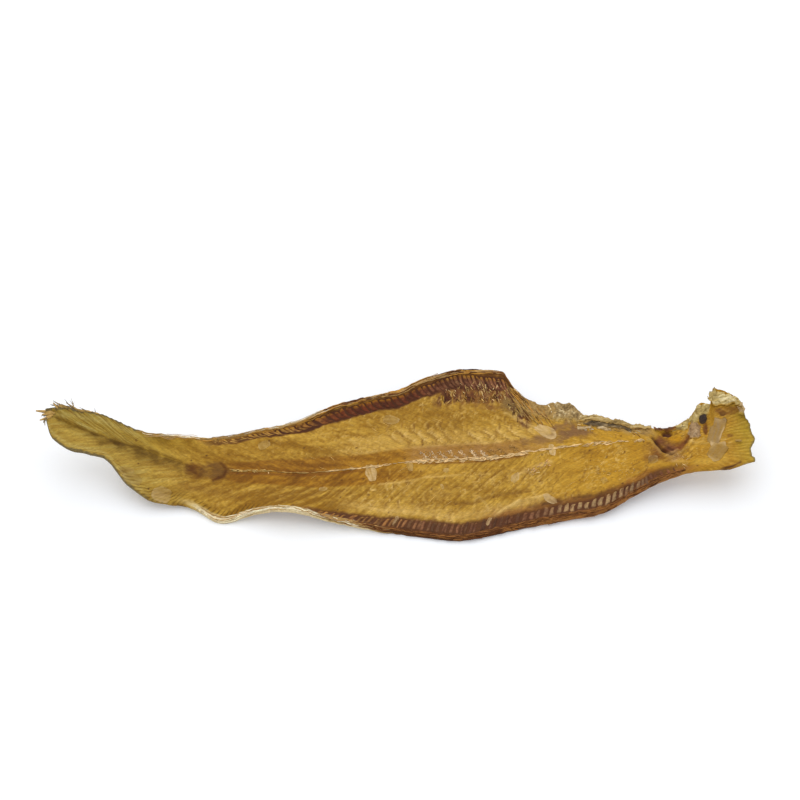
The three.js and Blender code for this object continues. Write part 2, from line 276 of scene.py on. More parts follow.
# Lines: (plan points, half width, height, colour, strength)
MARKS = [
    (((-111.6, 1.9), (-104.6, 0.7), (-99.5, -0.5)), 0.5, -0.05, STRIPE_DARK, 0.35),
    (((-100.5, -0.3), (-97, -1), (-92, -1.9)), 0.6, -0.1, STRIPE_DARK, 0.6),
    (((-93, -1.8), (-81.6, -1.8), (-72, -4.4)), 0.45, -0.1, STRIPE_DARK, 0.45),
    (((-110, 1.6), (-104, -0.2), (-97, -1.9)), 1.6, 0, STRIPE_DARK, 0.35),
    (((-96, -2), (-89, -3), (-84, -3.2)), 2.1, 0, STRIPE_DARK, 0.65),
    (((-85, -3), (-79, -4.2), (-72, -5.6)), 2.3, 0, STRIPE_DARK, 0.6),
    (((-109.7, 2.7), (-104.3, 1.8), (-99, 0.6)), 0.35, 0.1, RAY_PALE, 0.5),
    (((-58.5, -3.8), (-56.6, -6.2), (-57.4, -9), (-60.8, -10.6)), 0.6, -0.1, OVAL_BROWN, 0.8),
    (((-71, -13), (-61.6, -14.9), (-51.6, -17)), 1.3, -0.1, FLESH_DARK, 0.35),
    (((-14, 0.2), (1, 2.5), (24.5, 4.3), (35, 5)), 0.45, 0.12, FLESH_PALE, 0.45),
    (((-6, -12.2), (1, -11.5), (9.3, -9.5), (21, -8.5)), 0.4, 0.12, FLESH_PALE, 0.6),
    (((1, -14.3), (9.3, -9.1), (17.6, -6.5)), 0.35, 0.1, FLESH_PALE, 0.35),
    (((32, -24), (35.4, -21.4), (40.4, -18.5), (49.7, -16.4)), 0.6, 0.6, FLESH_PALE, 0.85),
    (((25.2, -21.4), (25.6, -18.6), (27, -17.2), (28.6, -19.1), (30, -21.4)), 0.4, 0.4, FLESH_PALE, 0.65),
    (((19, -19.4), (25.3, -19.6), (30.6, -17), (43.8, -14.6)), 0.7, -0.3, FLESH_DARK, 0.6),
    (((40.8, -8.3), (45.9, -5.6), (51, -3.7)), 0.8, 0.15, SCALE_PALE, 0.45),
    (((36.6, 15.9), (39, 14.7), (46.6, 10.3)), 0.7, 0.3, FLESH_PALE, 0.65),
    (((44, -20.4), (53.6, -18.4), (66.8, -16.2), (76, -13.6)), 0.9, -0.2, NECK_DARK, 0.55),
    # Neck fold: the dark lines in its creases and hollows are partly painted shade, partly its brown colour
    (((87.6, 1.4), (89.4, -0.8), (91, -2.4)), 1.6, -0.3, NECK_BROWN, 0.8),
    (((85.4, 3.4), (86.7, 0.6), (89, -2.4), (91, -3.8)), 0.5, -0.5, NECK_DARK, 0.85),
    (((88.6, -2), (90, -3.2), (91.6, -3.7)), 0.8, -0.4, NECK_DARK, 0.7),
    (((83.9, 4.1), (85.1, 1.4), (87.5, -2.3), (89.4, -4.2)), 0.6, 0.45, FLESH_PALE, 0.45),
    (((87.2, 2.4), (88.6, 0.2), (90.4, -1.6), (92.4, -2.4)), 1.1, 0.4, NECK_FOLD, 0.85),
    (((85.2, 3.3), (86.4, 0.8), (88.6, -2.2), (91, -3.9)), 0.4, -0.3, NECK_DARK, 0.75),
    (((88.4, 0.6), (90, -1.2), (91.6, -2.4)), 0.35, -0.2, NECK_DARK, 0.6),
    (((93.8, -1.6), (95.4, 0.2), (97.2, 2.4)), 0.9, -0.4, NECK_RED, 0.75),
    (((95.6, 0), (97, 2)), 0.45, -0.2, NECK_DARK, 0.5),
    (((91.4, -4.2), (93.3, -3.8), (96.4, -1.6), (98, 0.8)), 0.5, 0.4, FLESH_PALE, 0.5),
    (((89.4, -3), (91.4, -3.2), (93, -2.6)), 0.5, 0.4, MOUND_PALE, 0.6),
    # Painted shadow below the neck fold
    (((85, -4), (89, -5.8), (94.5, -5.4)), 1, -0.2, NECK_BROWN, 0.4),
    (((97.2, 0.4), (99, -0.6), (101.6, -0.2)), 0.6, 0.4, FLESH_PALE, 0.5),
    (((106.6, -10.9), (109.6, -10.6), (112.6, -9.5)), 0.35, 0, NECK_DARK, 0.9),
]

# Loose scales on the shown face: (x, y, half length, half width, turn in degrees, squareness, how pale), and
# the x past which they are grey
SCALES = [
    (-8.6, -7.4, 3.4, 1.8, 102, 0.1, 0.9),
    (4.3, -5, 1.9, 1, 100, 0.3, 0.5),
    (51.8, 1.1, 2.4, 1.2, 96, 0.2, 0.9),
    (39.1, -9.9, 2.2, 1.3, 62, 0, 0.6),
    (50.2, 8.9, 4, 2.1, -32, 0.2, 0.85),
    (50.3, -17.8, 2.6, 1.3, -28, 0, 0.8),
    (-2, 13.4, 2.9, 1.6, 170, 0, 0.4),
    (16.3, -6.5, 1, 0.9, 20, 0, 0.6),
    (14.9, -13.3, 0.5, 1, 20, 0.4, 0.7),
    (-24.4, -14.3, 1.5, 0.9, 15, 0, 0.6),
    (-44.6, 3.6, 2.2, 1.4, 30, 0.4, 0.35),
    (-77.3, -16.8, 3.2, 2.3, 0, 0.1, 0.5),
    (-86.9, -12.8, 3.1, 1.7, -12, 0.3, 0.2),
    (-88.8, -10.4, 2.5, 0.9, -2, 0.2, 0.25),
    (84.8, -4.8, 1.8, 1.7, 40, 0, 0.5),
    (68.3, -11.4, 1, 1.1, 30, 0.3, 0.3),
    (106, 3, 5.3, 2.2, 68, 0.5, 0.9),
    (105.6, -4.4, 3.9, 2.8, 48, 0.2, 0.6),
    (112.6, -1.6, 1.1, 0.4, -18, 0, 0.7),
    (30, -25.7, 1.5, 0.6, 60, 0.3, 0.7),
    (-0.4, -25.2, 1.7, 0.6, 62, 0.3, 0.7),
]
GREY_SCALES_X = 84.0
SCALE_THICKNESS = 0.16
SCALE_GRID = 22  # points across a scale

# Lateral line: (from x, to x, strands, their usual length, radius, how far they stray, colour)
LINE_STRETCHES = [
    (-56, -37, 40, 2, 0.1, 0.5, FLESH_PALE),
    (-40, -20, 34, 3, 0.09, 0.3, LINE_TAN),
    (-24, -6, 30, 4, 0.12, 0.25, LINE_PALE),
    (-16, 10, 46, 2.4, 0.14, 0.6, LINE_PALE),
    (6, 44, 170, 2.2, 0.17, 1.0, LINE_PALE),
    (38, 62, 40, 4, 0.17, 0.4, LINE_PALE),
    (60, 82, 46, 2.6, 0.13, 0.9, LINE_PALE),
]
# Pale flakes beside the line: from x, to x and pitch, the x where they turn dull, their turn in degrees,
# range of their half length, thickness, crumbs on each, and points across one
FLAKE_RUN = (9, 42, 3.3)
FLAKE_DULL_X = 28
FLAKE_TURN = 128
FLAKE_HALF = (1.7, 2.3)
FLAKE_THICKNESS = 0.2
FLAKE_CRUMBS = 34
FLAKE_GRID = 17
# Beds of pale crumbs: (count, x, y, half length, half width, turn in degrees, lengths, radii, colours)
CRUMB_BEDS = [
    (14, 63, 9.8, 2.6, 0.9, -8, (0.4, 1.4), (0.1, 0.22), (CRUMB_WHITE, LINE_PALE, RIM_TAN)),
    (12, 69.8, 9.2, 2.4, 0.9, -24, (0.4, 1.4), (0.1, 0.2), (CRUMB_WHITE, LINE_PALE, RIM_TAN)),
    (40, 74, 9, 9, 1.2, -17, (1, 3), (0.06, 0.12), (RIM_TAN, RIM_CREAM, STRAND_GOLD, SPREAD_BROWN)),
    (50, 46.6, -6.6, 4, 1, 34, (0.5, 1.8), (0.06, 0.13), (CRUMB_PINK, LINE_PALE, FLESH_PALE)),
    (26, 71, -8.6, 9, 1.1, -4, (0.4, 1.6), (0.06, 0.1), (FLESH_PALE,)),
    (30, 32, 22.6, 9, 2.6, -8, (0.3, 0.9), (0.06, 0.13), (LINE_PALE, FLESH_PALE)),
    (22, 93.2, -6.2, 2.8, 1.8, -30, (0.6, 1.6), (0.05, 0.07), (FLESH_PALE, FLESH_PALE, LINE_PALE)),
    (12, -47, -6.9, 8, 0.5, 0, (0.3, 0.9), (0.1, 0.2), (LINE_PALE, FLESH_PALE)),
]
CRUMB_LIFT = 0.12
# Dark dots on the flesh: one at most in each square of this side
DOT_CELL = 6.0

# Beds of fibres by the back edge: (count, from x, to x, distances from the edge, turn in degrees, its spread,
# lengths, radii, lift, colours)
FIBRE_BEDS = [
    (130, 15, 41, (3.2, 10.5), -72, 28, (0.8, 2.8), (0.06, 0.13), 0.08,
     (LINE_PALE, FLESH_PALE, FLESH_PALE, RIM_BROWN, NECK_DARK)),
    (80, 37, 50, (0.2, 5.5), -54, 6, (3, 8), (0.07, 0.16), 0.2,
     (RIM_GOLD, RIM_GOLD, SPREAD_BROWN, STRAND_GOLD, MOUND_PALE)),
    (1, 51, 51.1, (0, 0.1), -70, 1, (4.6, 4.7), (0.2, 0.21), 0.3, (RIM_CREAM,)),
]
# Single fibres on the flesh: how many, from x to x, and ranges of their lengths and radii
FLESH_FIBRES = 60
FLESH_FIBRE_RUN = (-30, 84)
FLESH_FIBRE_LENGTHS = (1.2, 4)
FLESH_FIBRE_RADII = (0.05, 0.08)
# Strands along the edges: (back, from x, to x, count, lengths, how far in, radius, colours)
RIM_RUNS = [
    (True, -84, -22, 80, (5, 18), 1, 0.12, (RIM_CREAM, RIM_TAN, RIM_TAN, STRAND_GOLD, RIM_GOLD)),
    (True, -30, 38, 100, (5, 20), 1.4, 0.16, (RIM_GOLD, RIM_TAN, RIM_TAN, RIM_BROWN, SPREAD_BROWN)),
    (False, -62, -12, 90, (5, 18), 1.6, 0.15, (RIM_CREAM, RIM_CREAM, RIM_TAN, RIM_TAN, STRAND_GOLD)),
    (False, -26, 0, 30, (5, 16), 1.2, 0.14, (RIM_TAN, STRAND_GOLD, RIM_ORANGE)),
    (False, -14, 40, 140, (4, 16), 1.5, 0.15, (RIM_BROWN, RIM_BROWN, SPREAD_BROWN, RIM_BROWN, RIM_ORANGE)),
    (False, 28, 95, 420, (1.2, 5), 1.8, 0.13,
     (RIM_BROWN, SPREAD_BROWN, RIM_ORANGE, RIM_ORANGE, RIM_ORANGE)),
]
# Tail strands: (start, way, length, radius), and how many hairs leave each
TAIL_STRANDS = [
    ((-112, 2.6, 23.3), (-1, 0.24, 0.06), 6, 1), ((-112.6, 2.2, 23.2), (-0.8, -0.6, -0.1), 4.8, 0.85),
    ((-113, 2.4, 23.3), (-1, -0.1, 0), 3.2, 0.9), ((-108, 4, 24.2), (-1, 0.5, 0.1), 4.4, 0.6),
    ((-104.4, 4.2, 22.8), (-1, 0.5, 0.25), 5.4, 0.5), ((-106, 4.4, 23.6), (-0.3, 1, 0.4), 2.4, 0.3),
    ((-102.5, 4.6, 22), (-1, 0.05, 0.15), 4.6, 0.6), ((-111, 3.8, 24.5), (-0.7, 0.6, 0.2), 2.6, 0.5),
    ((-109, 4.3, 24.3), (-0.9, 0.25, 0.1), 3.4, 0.6), ((-106.5, 4.6, 23.3), (-1, 0.15, 0.25), 4, 0.5),
    ((-100.6, 4.9, 21.2), (-1, 0.1, 0.35), 3.4, 0.45), ((-98, 5, 20), (-1, 0.05, 0.4), 3, 0.4),
]
TAIL_HAIRS = 4
# Tubes of strands: their sides, steps along them, and the fewest points of one that is made
STRAND_SIDES = 5
FIBRE_SIDES = 4
RIM_SIDES = 6
STRAND_POINTS = 9
LINE_STEP = 0.3
LINE_LEAST = 3
FIBRE_STEP = 0.45
FIBRE_LEAST = 5
RIM_STEP = 0.5
RIM_LEAST = 4
SHIFTS = (0, 90)  # range of the shifts that make each strand wander differently
NEARLY_UP = (0.02, 0.03, 1)  # no strand runs along it
TINY = 1e-9

# Skins of the scraps: colours of their hollows, their flats and their crests
# The hollows' darker colours are partly painted shade and the crests' paler ones partly painted highlight
GOLD_SKIN = ((124, 94, 48), (162, 130, 76), (190, 160, 102))
GREY_SKIN = ((100, 80, 50), (164, 136, 88), (218, 198, 154))
DARK_SKIN = ((64, 52, 38), (100, 82, 57), (164, 140, 102))
TAN_SKIN = ((120, 94, 52), (182, 154, 96), (222, 200, 148))
WHITE_SKIN = ((132, 106, 70), (186, 158, 114), (226, 210, 176))
BROWN_SKIN = (NECK_DARK, (128, 82, 36), (176, 130, 66))
PALE_SKIN = ((124, 98, 50), (190, 166, 104), (228, 212, 166))
BLOB_SKIN = ((136, 106, 74), (162, 132, 96), (186, 158, 122))

# Crumpled scraps: (near border, far border, curl, rise, crumple length and width, skin, seed, melting)
MEMBRANE_SCRAPS = [
    (((44, 14.5), (49, 12.6), (55, 12)), ((45, 20.4), (49.5, 19.4), (55, 18.6)), 0, 0.5, (2, 1.4),
     GOLD_SKIN, 101, 0.5),
    (((52, 12), (58, 10.2), (64, 9.9)), ((52.5, 18.6), (58, 19), (61.8, 15.8)), 0, 0.8, (1, 0.7), GREY_SKIN,
     111, 0.5),
    (((60.6, 9.2), (62.6, 8.7), (65.4, 9.2)), ((61, 10.4), (63, 10.2), (65.6, 10.3)), 0.2, 0.5, (1.2, 0.7),
     WHITE_SKIN, 141, 0.3),
    (((67.4, 8.9), (70, 8), (72.2, 8)), ((68, 10.3), (70, 9.8), (71.8, 9)), 0.2, 0.5, (1.2, 0.7),
     WHITE_SKIN, 146, 0.3),
    (((62.6, 10.8), (66, 9.7), (70, 9.3), (75, 8.3), (78, 7.6)),
     ((62.8, 11.6), (66, 11.9), (70, 11.3), (75, 9.5), (78.6, 8.1)),
     0.3, 0.5, (2.2, 0.6), DARK_SKIN, 131, 0.3),
    (((61.6, 12.3), (66, 11.9), (70, 11.1), (76, 9.2), (85, 6.3)),
     ((61.4, 15.2), (64.6, 13.9), (68.6, 13.5), (75, 11.2), (85, 8.2)),
     0.5, 0.5, (5, 0.6), TAN_SKIN, 121, 0.2),
]
NECK_SCRAPS = [
    (((86.4, 5.6), (89, 5.2), (92.6, 5)), ((85.6, 7.6), (89, 6.6), (93, 6.4)), 0.7, 0.5, (2.6, 1),
     BROWN_SKIN, 161, 0.1),
    (((92, 4.8), (94.4, 4.4), (97, 4.4)), ((92, 6.4), (94.6, 6.6), (97.4, 7.4)), 0.3, 0.6, (2.4, 1),
     PALE_SKIN, 151, 0.3),
]
HEAD_SCRAPS = [
    (((97.6, 6), (100, 5.6), (103.6, 8)), ((97.5, 7.8), (100.4, 11.2), (104.2, 10.9)), 0, 1, (2, 1.4),
     PALE_SKIN, 181, 0.4),
    (((97.1, 2.8), (98, 1.1), (100.2, 1.1), (101.2, 2.6)),
     ((97, 4.8), (97.8, 7), (99.8, 7.2), (101.2, 5.6)), 0, 1.4, (1.5, 1.5), BLOB_SKIN, 171, 0.1),
    (((104.6, 11.6), (107, 10.9), (111.5, 11.2), (113.6, 9)),
     ((103.2, 14.2), (104, 13.8), (104.4, 15.9), (105.1, 15.2), (105.9, 16.5), (106.3, 14.9), (108.9, 14.6),
      (109.3, 13.9), (110.8, 14.1), (111.2, 13.2), (112.3, 13.2), (113.8, 11)),
     0.6, 0.8, (4, 1), PALE_SKIN, 191, 0.1),
    (((113, 7.8), (114, 7.2), (115, 6.8)), ((113.4, 10.4), (114.6, 10.4), (115.4, 8.4)), 0.3, 0.7,
     (1.6, 1.6), WHITE_SKIN, 195, 0.2),
]
SCRAP_THICKNESS = 0.3
SCRAP_GRID = (64, 26)  # points along and across a scrap

# The eye: plan place, radii, height, how far it stands out, thickness and points across
EYE_AT = (101.8, 7.5)
EYE_RADII = (1.5, 1.15)
EYE_RISE = 0.4
EYE_LIFT = 0.6
EYE_THICKNESS = 0.6
EYE_GRID = 16

# The photograph's view: the camera looks along +Y and down, with the fillet low in the frame
CAMERA_ELEVATION = 50.0
CAMERA_AT = (1.0, -368.3, 472.1)
LENS = 80.0
SENSOR_WIDTH = 36.0
# Floor and light
FLOOR_HALF = 1500.0
FLOOR_DROP = 0.05
FLOOR_COLOUR = (0.84, 0.85, 0.87, 1)
GLOW_COLOUR = (0.82, 0.9, 1, 1)
FLOOR_GLOW = 0.15
SKY_STRENGTH = 0.78
KEY_AT = (-60, 300, 1200)
KEY_SIZE = 1700
KEY_ENERGY = 8.6
# Finish of the surfaces: specks for each metre, grain for each millimetre, and for each surface the range of
# its roughness, how much specks mottle it, the depth of its bump and how much grain mottles it
SPECULAR_LEVEL = 0.12
SPECK_SCALE = (900, 2300, 2300)
GRAIN_SCALE = (0.22, 2.1, 0)
NOISE_ROUGHNESS = 0.65
NOISE_RANGE = (0.34, 0.66)
BUMP_STRENGTH = 0.5
FLESH_FINISH = ((0.36, 0.62), 0.17, 0.3, 0.12)
BITS_FINISH = ((0.4, 0.65), 0.26, 0.12)
FILM_FINISH = ((0.2, 0.45), 0.1, 0.15)
FILM_ALPHA = 0.75
FLOOR_ROUGHNESS = 0.9
SEED = 7  # of the random draws

# Stretches along the fillet where its marks and colours show: (from x, to x, fade)
RUN = SimpleNamespace(
    ragged=(-106, 110, 6), torn_edge=(38, 84, 4), torn_skin=(42, 82, 5), torn_tan=(46, 84, 4),
    tail_rays=(-106, -88, 7), lobe=(-64, -47, 4), tail_lobe=(-90, -72, 4),
    front_strokes=(-36, 2, 12), back_strokes=(-50, 20, 12), core_strokes=(-52, -22, 10),
    leaves=(-34, 44, 14), plain_leaves=(2, 46, 12), imprints=(-12, 44, 14), dashes=(-10, 62, 14),
    cracks=(36, 94, 14), neck=(84, 97.5, 2.5),
    pale_back=(-54, -32, 8), deep_front=(-50, -16, 12), pale_flank=(-10, 40, 20), deep_flank=(-5, 40, 10),
    tail_shadow=(-54, -14, 4), braid_shadow=(10, 42, 4), bare_line=(-38, -24, 3), braid=(8, 48, 8),
    pale_strip=(-14, 44, 8), lip=(34, 80, 10), spread=(16, 42, 5),
    back_hem=(2, 40, 12), gold_rim=(-70, 40, 6), cream_edge=(-62, -10, 8), cream_rim=(-62, -16, 12),
    brown_rim=(4, 40, 12), orange_rim=(50, 92, 10),
)
# Heights of the shown face's relief, and depths
RISE = SimpleNamespace(
    ridge=0.3, fan=0.06, tooth=0.1, ray=0.1, hem=0.3, leaf=0.07, imprint=0.05, streak=0.12, swell=0.2,
    fine=0.07, fibre=0.06, torn=0.6,
)
SINK = SimpleNamespace(shoulder=0.35, comb=0.35, dash=0.08, crack=0.14, streak=0.15, stroke=0.16)
# Noise: large odd numbers that scramble a place and a seed, and layers as (share, fineness)
HASH_X = 374761393
HASH_Y = 668265263
HASH_SEED = 974711
HASH_MIX = 1274126177
NOISE_LAYERS = ((0.6, 1), (0.3, 2.1), (0.15, 4.3))
# Grains of the shown face: (length along it, width across it, seed)
PATCH_GRAIN = (15, 4, 51)
MOTTLE_GRAIN = (1.1, 0.9, 52)
FIBRE_GRAIN = (5, 0.8, 53)
SWELL_GRAIN = (11, 6, 32)
FINE_GRAIN = (2.4, 1.4, 33)
WARP_GRAIN = (7, 5, 27)
SHIFT_GRAIN = (5, 4, 37)
PATCHY_GRAIN = (7, 4, 28)
CRUMB_GRAIN = (2.5, 2, 74)
BREAK_GRAIN = (2.6, 1.6, 71)
TORN_GRAIN = (2.6, 1.8, 34)


def smooth(low, high, value):
    """0 below low, 1 above high and a smooth step between; low may be above high."""
    share = np.clip((value - low) / (high - low), 0, 1)
    return share * share * (3 - 2 * share)


def window(low, high, fade, value):
    """1 between low and high, fading to 0 over fade outside them."""
    return smooth(low - fade, low, value) * smooth(high + fade, high, value)


def within(f, run):
    """1 on a stretch along the fillet, fading past its ends."""
    return window(*run, f.station)


def bump(distance, width):
    """1 where a distance is 0, falling to nothing over about twice the width."""
    return np.exp(-((distance / width) ** 2))


def guide(points, x, column=1):
    """One column of a guide at x, by a cubic that never overshoots its points."""
    table = np.array(points, float)
    knots = table[:, 0]
    values = table[:, column]
    rise = np.diff(values) / np.diff(knots)
    same = rise[:-1] * rise[1:] > 0
    total = np.where(same, rise[:-1] + rise[1:], 1)
    inner = np.where(same, 2 * rise[:-1] * rise[1:] / total, 0)
    slope = np.concatenate([rise[:1], inner, rise[-1:]])
    i = np.clip(np.searchsorted(knots, x) - 1, 0, len(knots) - 2)
    span = knots[i + 1] - knots[i]
    u = np.clip((x - knots[i]) / span, 0, 1)
    value = values[i] * (1 + 2 * u) * (1 - u) ** 2 + values[i + 1] * u * u * (3 - 2 * u)
    return value + span * (slope[i] * u * (1 - u) ** 2 - slope[i + 1] * u * u * (1 - u))


def noise(x, y, seed):
    """Smooth random values between -1 and 1, with features about one unit across."""
    cell_x = np.floor(x).astype(np.int64)
    cell_y = np.floor(y).astype(np.int64)
    fx = x - cell_x
    fy = y - cell_y
    fx = fx * fx * (3 - 2 * fx)
    fy = fy * fy * (3 - 2 * fy)

    def corner(dx, dy):
        n = (cell_x + dx) * HASH_X + (cell_y + dy) * HASH_Y + seed * HASH_SEED
        n = (n ^ (n >> 13)) * HASH_MIX
        return ((n ^ (n >> 16)) & 0xFFFF) / 32767.5 - 1

    near = corner(0, 0) * (1 - fx) + corner(1, 0) * fx
    far = corner(0, 1) * (1 - fx) + corner(1, 1) * fx
    return near * (1 - fy) + far * fy


def layered_noise(x, y, seed):
    """Noise with finer and fainter layers over it."""
    total = 0
    for n, (share, fineness) in enumerate(NOISE_LAYERS):
        total = total + share * noise(fineness * x, fineness * y, seed + n)
    return total


def wander(x, length, shift, seed):
    """Smooth random values along a line, with features about a length long."""
    return noise(x / length, 0 * x + shift, seed)


def grain(f, size):
    """Layered noise over the shown face in a grain's size."""
    length, width, seed = size
    return layered_noise(f.x / length, f.y / width, seed)


def fibrous(f, size):
    """Layered noise drawn out along the muscle's fibres."""
    length, width, seed = size
    return layered_noise(f.x / length, f.lay / width, seed)


def patchy(f, usual, spread):
    """Shares between 0 and 1 that vary in patches by a spread round a usual value."""
    return np.clip(usual + spread * grain(f, PATCHY_GRAIN), 0, 1)


def thin_lines(values, width):
    """1 on thin wandering lines where noise values cross 0, fading to 0 over width."""
    return smooth(width, 0, np.abs(values))


def edge_line(x, back):
    """(y, z) of the back or the front edge at x, with the small unevenness of a dried edge."""
    points = BACK_EDGE if back else FRONT_EDGE
    seed = 11 if back else 12
    torn = window(*RUN.torn_edge, x) if back else 0
    ragged = 0.16 * wander(x, 1.7, 0, seed) + (0.12 + 0.35 * torn) * wander(x, 0.8, 5, seed)
    y = guide(points, x, 1) + ragged * window(*RUN.ragged, x)
    z = guide(points, x, 2) + 0.5 * torn * wander(x, 2.3, 9, seed)
    return y, z


def fields(x, t):
    """Places on the shown face before its relief, and what its relief and colours are worked out from."""
    back = t >= 0
    back_y, back_z = edge_line(x, True)
    front_y, front_z = edge_line(x, False)
    middle_y = guide(MIDLINE, x, 1)
    middle_z = guide(MIDLINE, x, 2)
    edge_y = np.where(back, back_y, front_y)
    edge_z = np.where(back, back_z, front_z)
    across = (edge_y - middle_y) * np.abs(t)
    z = middle_z + (edge_z - middle_z) * np.abs(t) ** SECTION_CURVE
    fan = smooth(FAN_ROOT_X, HEAD_X, x)
    rim = guide(FAN_RIM, t) + 0.15 * noise(14 * t, 0 * t, 14)
    reach = np.abs(across)
    slope = np.where(back, *FIBRE_SLOPES)
    flatter = FLAT_TURN * FLAT_RUN * np.logaddexp(0, (x - FLAT_X) / FLAT_RUN)
    return SimpleNamespace(
        station=x, t=t, back=back, x=x + fan * rim, y=middle_y + across, z=z, fan=fan, across=across,
        reach=reach, edge=np.abs(edge_y - middle_y) - reach, tail=smooth(*TAIL_FADE, x),
        stroke=x + reach / slope, lay=reach + slope * x + np.where(back, FLANK_SHIFT, -flatter),
    )


def tooth_phase(pitches, x):
    """How many teeth lie between the tail and x, where the pitch varies along the edge."""
    steps = np.linspace(TAIL_X - PHASE_MARGIN, HEAD_X + PHASE_MARGIN, PHASE_STEPS)
    count = np.cumsum((steps[1] - steps[0]) / guide(pitches, steps))
    return np.interp(x, steps, count)


def ray_phase(f, comb):
    """How many teeth of a comb lie before each place, counted along their lean."""
    return tooth_phase(comb.pitch, f.station - guide(comb.lean, f.station) * f.edge)


def fin_rays(f):
    """Wave of the fin rays and comb teeth: 1 on a ray and -1 in the groove beside it."""
    return np.cos(2 * np.pi * np.where(f.back, ray_phase(f, BACK_COMB), ray_phase(f, FRONT_COMB)))


def by_side(f, table, column=1):
    """A column of the back or the front comb's table at each place."""
    back, front = (guide(getattr(comb, table), f.station, column) for comb in (BACK_COMB, FRONT_COMB))
    return np.where(f.back, back, front)


def comb_share(f):
    """1 inside the comb bands, fading at their borders."""
    outer = by_side(f, "band", 1)
    inner = by_side(f, "band", 2) + 0.35 * noise(f.station / 3, f.edge / 9, 21)
    shown = by_side(f, "strength") * smooth(outer - 0.5, outer + 0.2, f.edge)
    return shown * smooth(inner + 0.6, inner - 0.6, f.edge)


def ray_share(f):
    """How plainly the tail's fin rays show: over its back half, and in a narrow hem along its front edge."""
    back = f.back * smooth(0.3, 1.4, f.reach) * within(f, RUN.tail_rays)
    front = ~f.back * smooth(3.2, 1.2, f.edge) * smooth(-70, -84, f.station)
    return back + 0.6 * front


def core_share(f):
    """1 inside the darker band along the lateral line."""
    reach = np.where(f.back, guide(CORE_BAND, f.station, 1), guide(CORE_BAND, f.station, 2))
    reach = reach + 0.5 * noise(f.station / 5, f.y / 8, 23)
    return guide(CORE_BAND, f.station, 3) * smooth(reach + 0.7, reach - 0.7, f.reach)


def fan_rays(f):
    """Phase of the fine rays that spread over the fan from the neck."""
    return FAN_RAYS * np.arctan2(f.y - FAN_HUB[1], f.x - FAN_HUB[0]) + 3 * noise(f.x / 4, f.y / 2.5, 24)


def stroke_marks(f):
    """1 on the soft dark strokes of the muscle: plain in the front flank and faint elsewhere."""
    phase = f.stroke / STROKE_PITCH + 0.3 * layered_noise(f.station / 6, f.y / 4, 25)
    wave = np.cos(2 * np.pi * phase) + 0.9 * layered_noise(f.stroke / 1.6, f.across / 4, 26)
    front = 0.45 * within(f, RUN.front_strokes) * window(-13, -8, 2, f.across)
    back = within(f, RUN.back_strokes) * window(5, 14, 3, f.across)
    shown = 0.06 * (1 - f.tail) * (1 - f.fan) + 0.9 * front + 0.2 * back
    return smooth(-0.4, 1.2, wave) * patchy(f, 0.6, 0.8) * shown


def pocket_row(f):
    """How many rows of scale pockets lie between the first one's border and each place."""
    return (f.reach - guide(POCKET_FIRST, f.station) + 0.7 * grain(f, WARP_GRAIN)) / POCKET_ROW


def muscle_bands(f):
    """Leaves of muscle slanting from the lateral line: above 0 on a leaf's pale border, below 0 before it."""
    slanted = np.where(f.back, f.x + f.reach / LEAF_SLOPE, f.stroke)
    phase = slanted / POCKET_PITCH + 0.3 * grain(f, SHIFT_GRAIN)
    along = phase - np.floor(phase)
    plainest = f.back * window(0, 0.5, 0.25, pocket_row(f)) * within(f, RUN.plain_leaves)
    plainer = ~f.back * window(6, 13, 3, f.reach)
    shown = (0.15 + 0.5 * plainer + plainest) * within(f, RUN.leaves) * smooth(3.5, 6.5, f.reach)
    gap = bump(1 - along, np.where(f.back, 0.15, 0.3))
    profile = (1 - along) ** 1.2 - 0.6 * gap - 0.35
    return shown * patchy(f, 0.8, np.where(f.back, 0.5, 0.8)) * profile


def scale_imprints(f):
    """Imprints of scales in staggered rows: above 0 on a pale crescent, below 0 on the dark line by it."""
    # In the colours the pale crescent is painted highlight and the dark line painted shade of each imprint's
    # edge
    row = (f.reach + 0.8 * grain(f, WARP_GRAIN)) / IMPRINT_ROW
    up = 2 * (row - np.floor(row)) - 1
    column = f.x / POCKET_PITCH + 0.5 * np.floor(row) + 0.3 * grain(f, SHIFT_GRAIN) - 0.3 * up * up
    along = column - np.floor(column)
    shown = within(f, RUN.imprints) * smooth(4, 7, f.reach) * smooth(2, 6, f.edge)
    return shown * patchy(f, 0.5, 1.2) * (bump(along - 0.12, 0.1) - bump(1 - along, 0.12))


def soft_streaks(f):
    """Long soft streaks of the flesh towards the tail: level behind the lateral line, slanting in front."""
    slant = f.reach + np.where(f.back, 0.12, 0.45) * f.station
    return smooth(16, -30, f.station) * layered_noise(f.station / 13, slant / 1.7, 38)


def tail_streaks(f):
    """Fine streaks of the tail's rays, drawn out along them: above 0 on a ray and below 0 beside it."""
    back = layered_noise(ray_phase(f, BACK_COMB) * 2.2, f.edge / 6, 39)
    front = layered_noise(f.x / 7, (f.y - 0.3 * f.x) / 0.5, 40)
    return np.where(f.back, smooth(-76, -92, f.station) * back, 0.6 * smooth(-62, -84, f.station) * front)


def pocket_dashes(f):
    """1 on the short dashes between the scale pockets, in staggered rows."""
    row = pocket_row(f)
    up = row - np.floor(row)
    start = guide(POCKET_FIRST, f.station) + POCKET_ROW * (np.floor(row) + 0.5)
    column = (f.x + start / LEAF_SLOPE) / POCKET_PITCH + 0.3 * grain(f, SHIFT_GRAIN)
    side = np.abs(column - np.round(column)) * POCKET_PITCH
    shown = within(f, RUN.dashes) * smooth(4, 7, f.reach) * smooth(1, 3, f.edge) * (1 - comb_share(f))
    narrow = bump(side + 0.3 * grain(f, CRUMB_GRAIN), 0.4)
    return shown * patchy(f, 0.6, 0.8) * narrow * window(0.68, 0.95, 0.14, up)


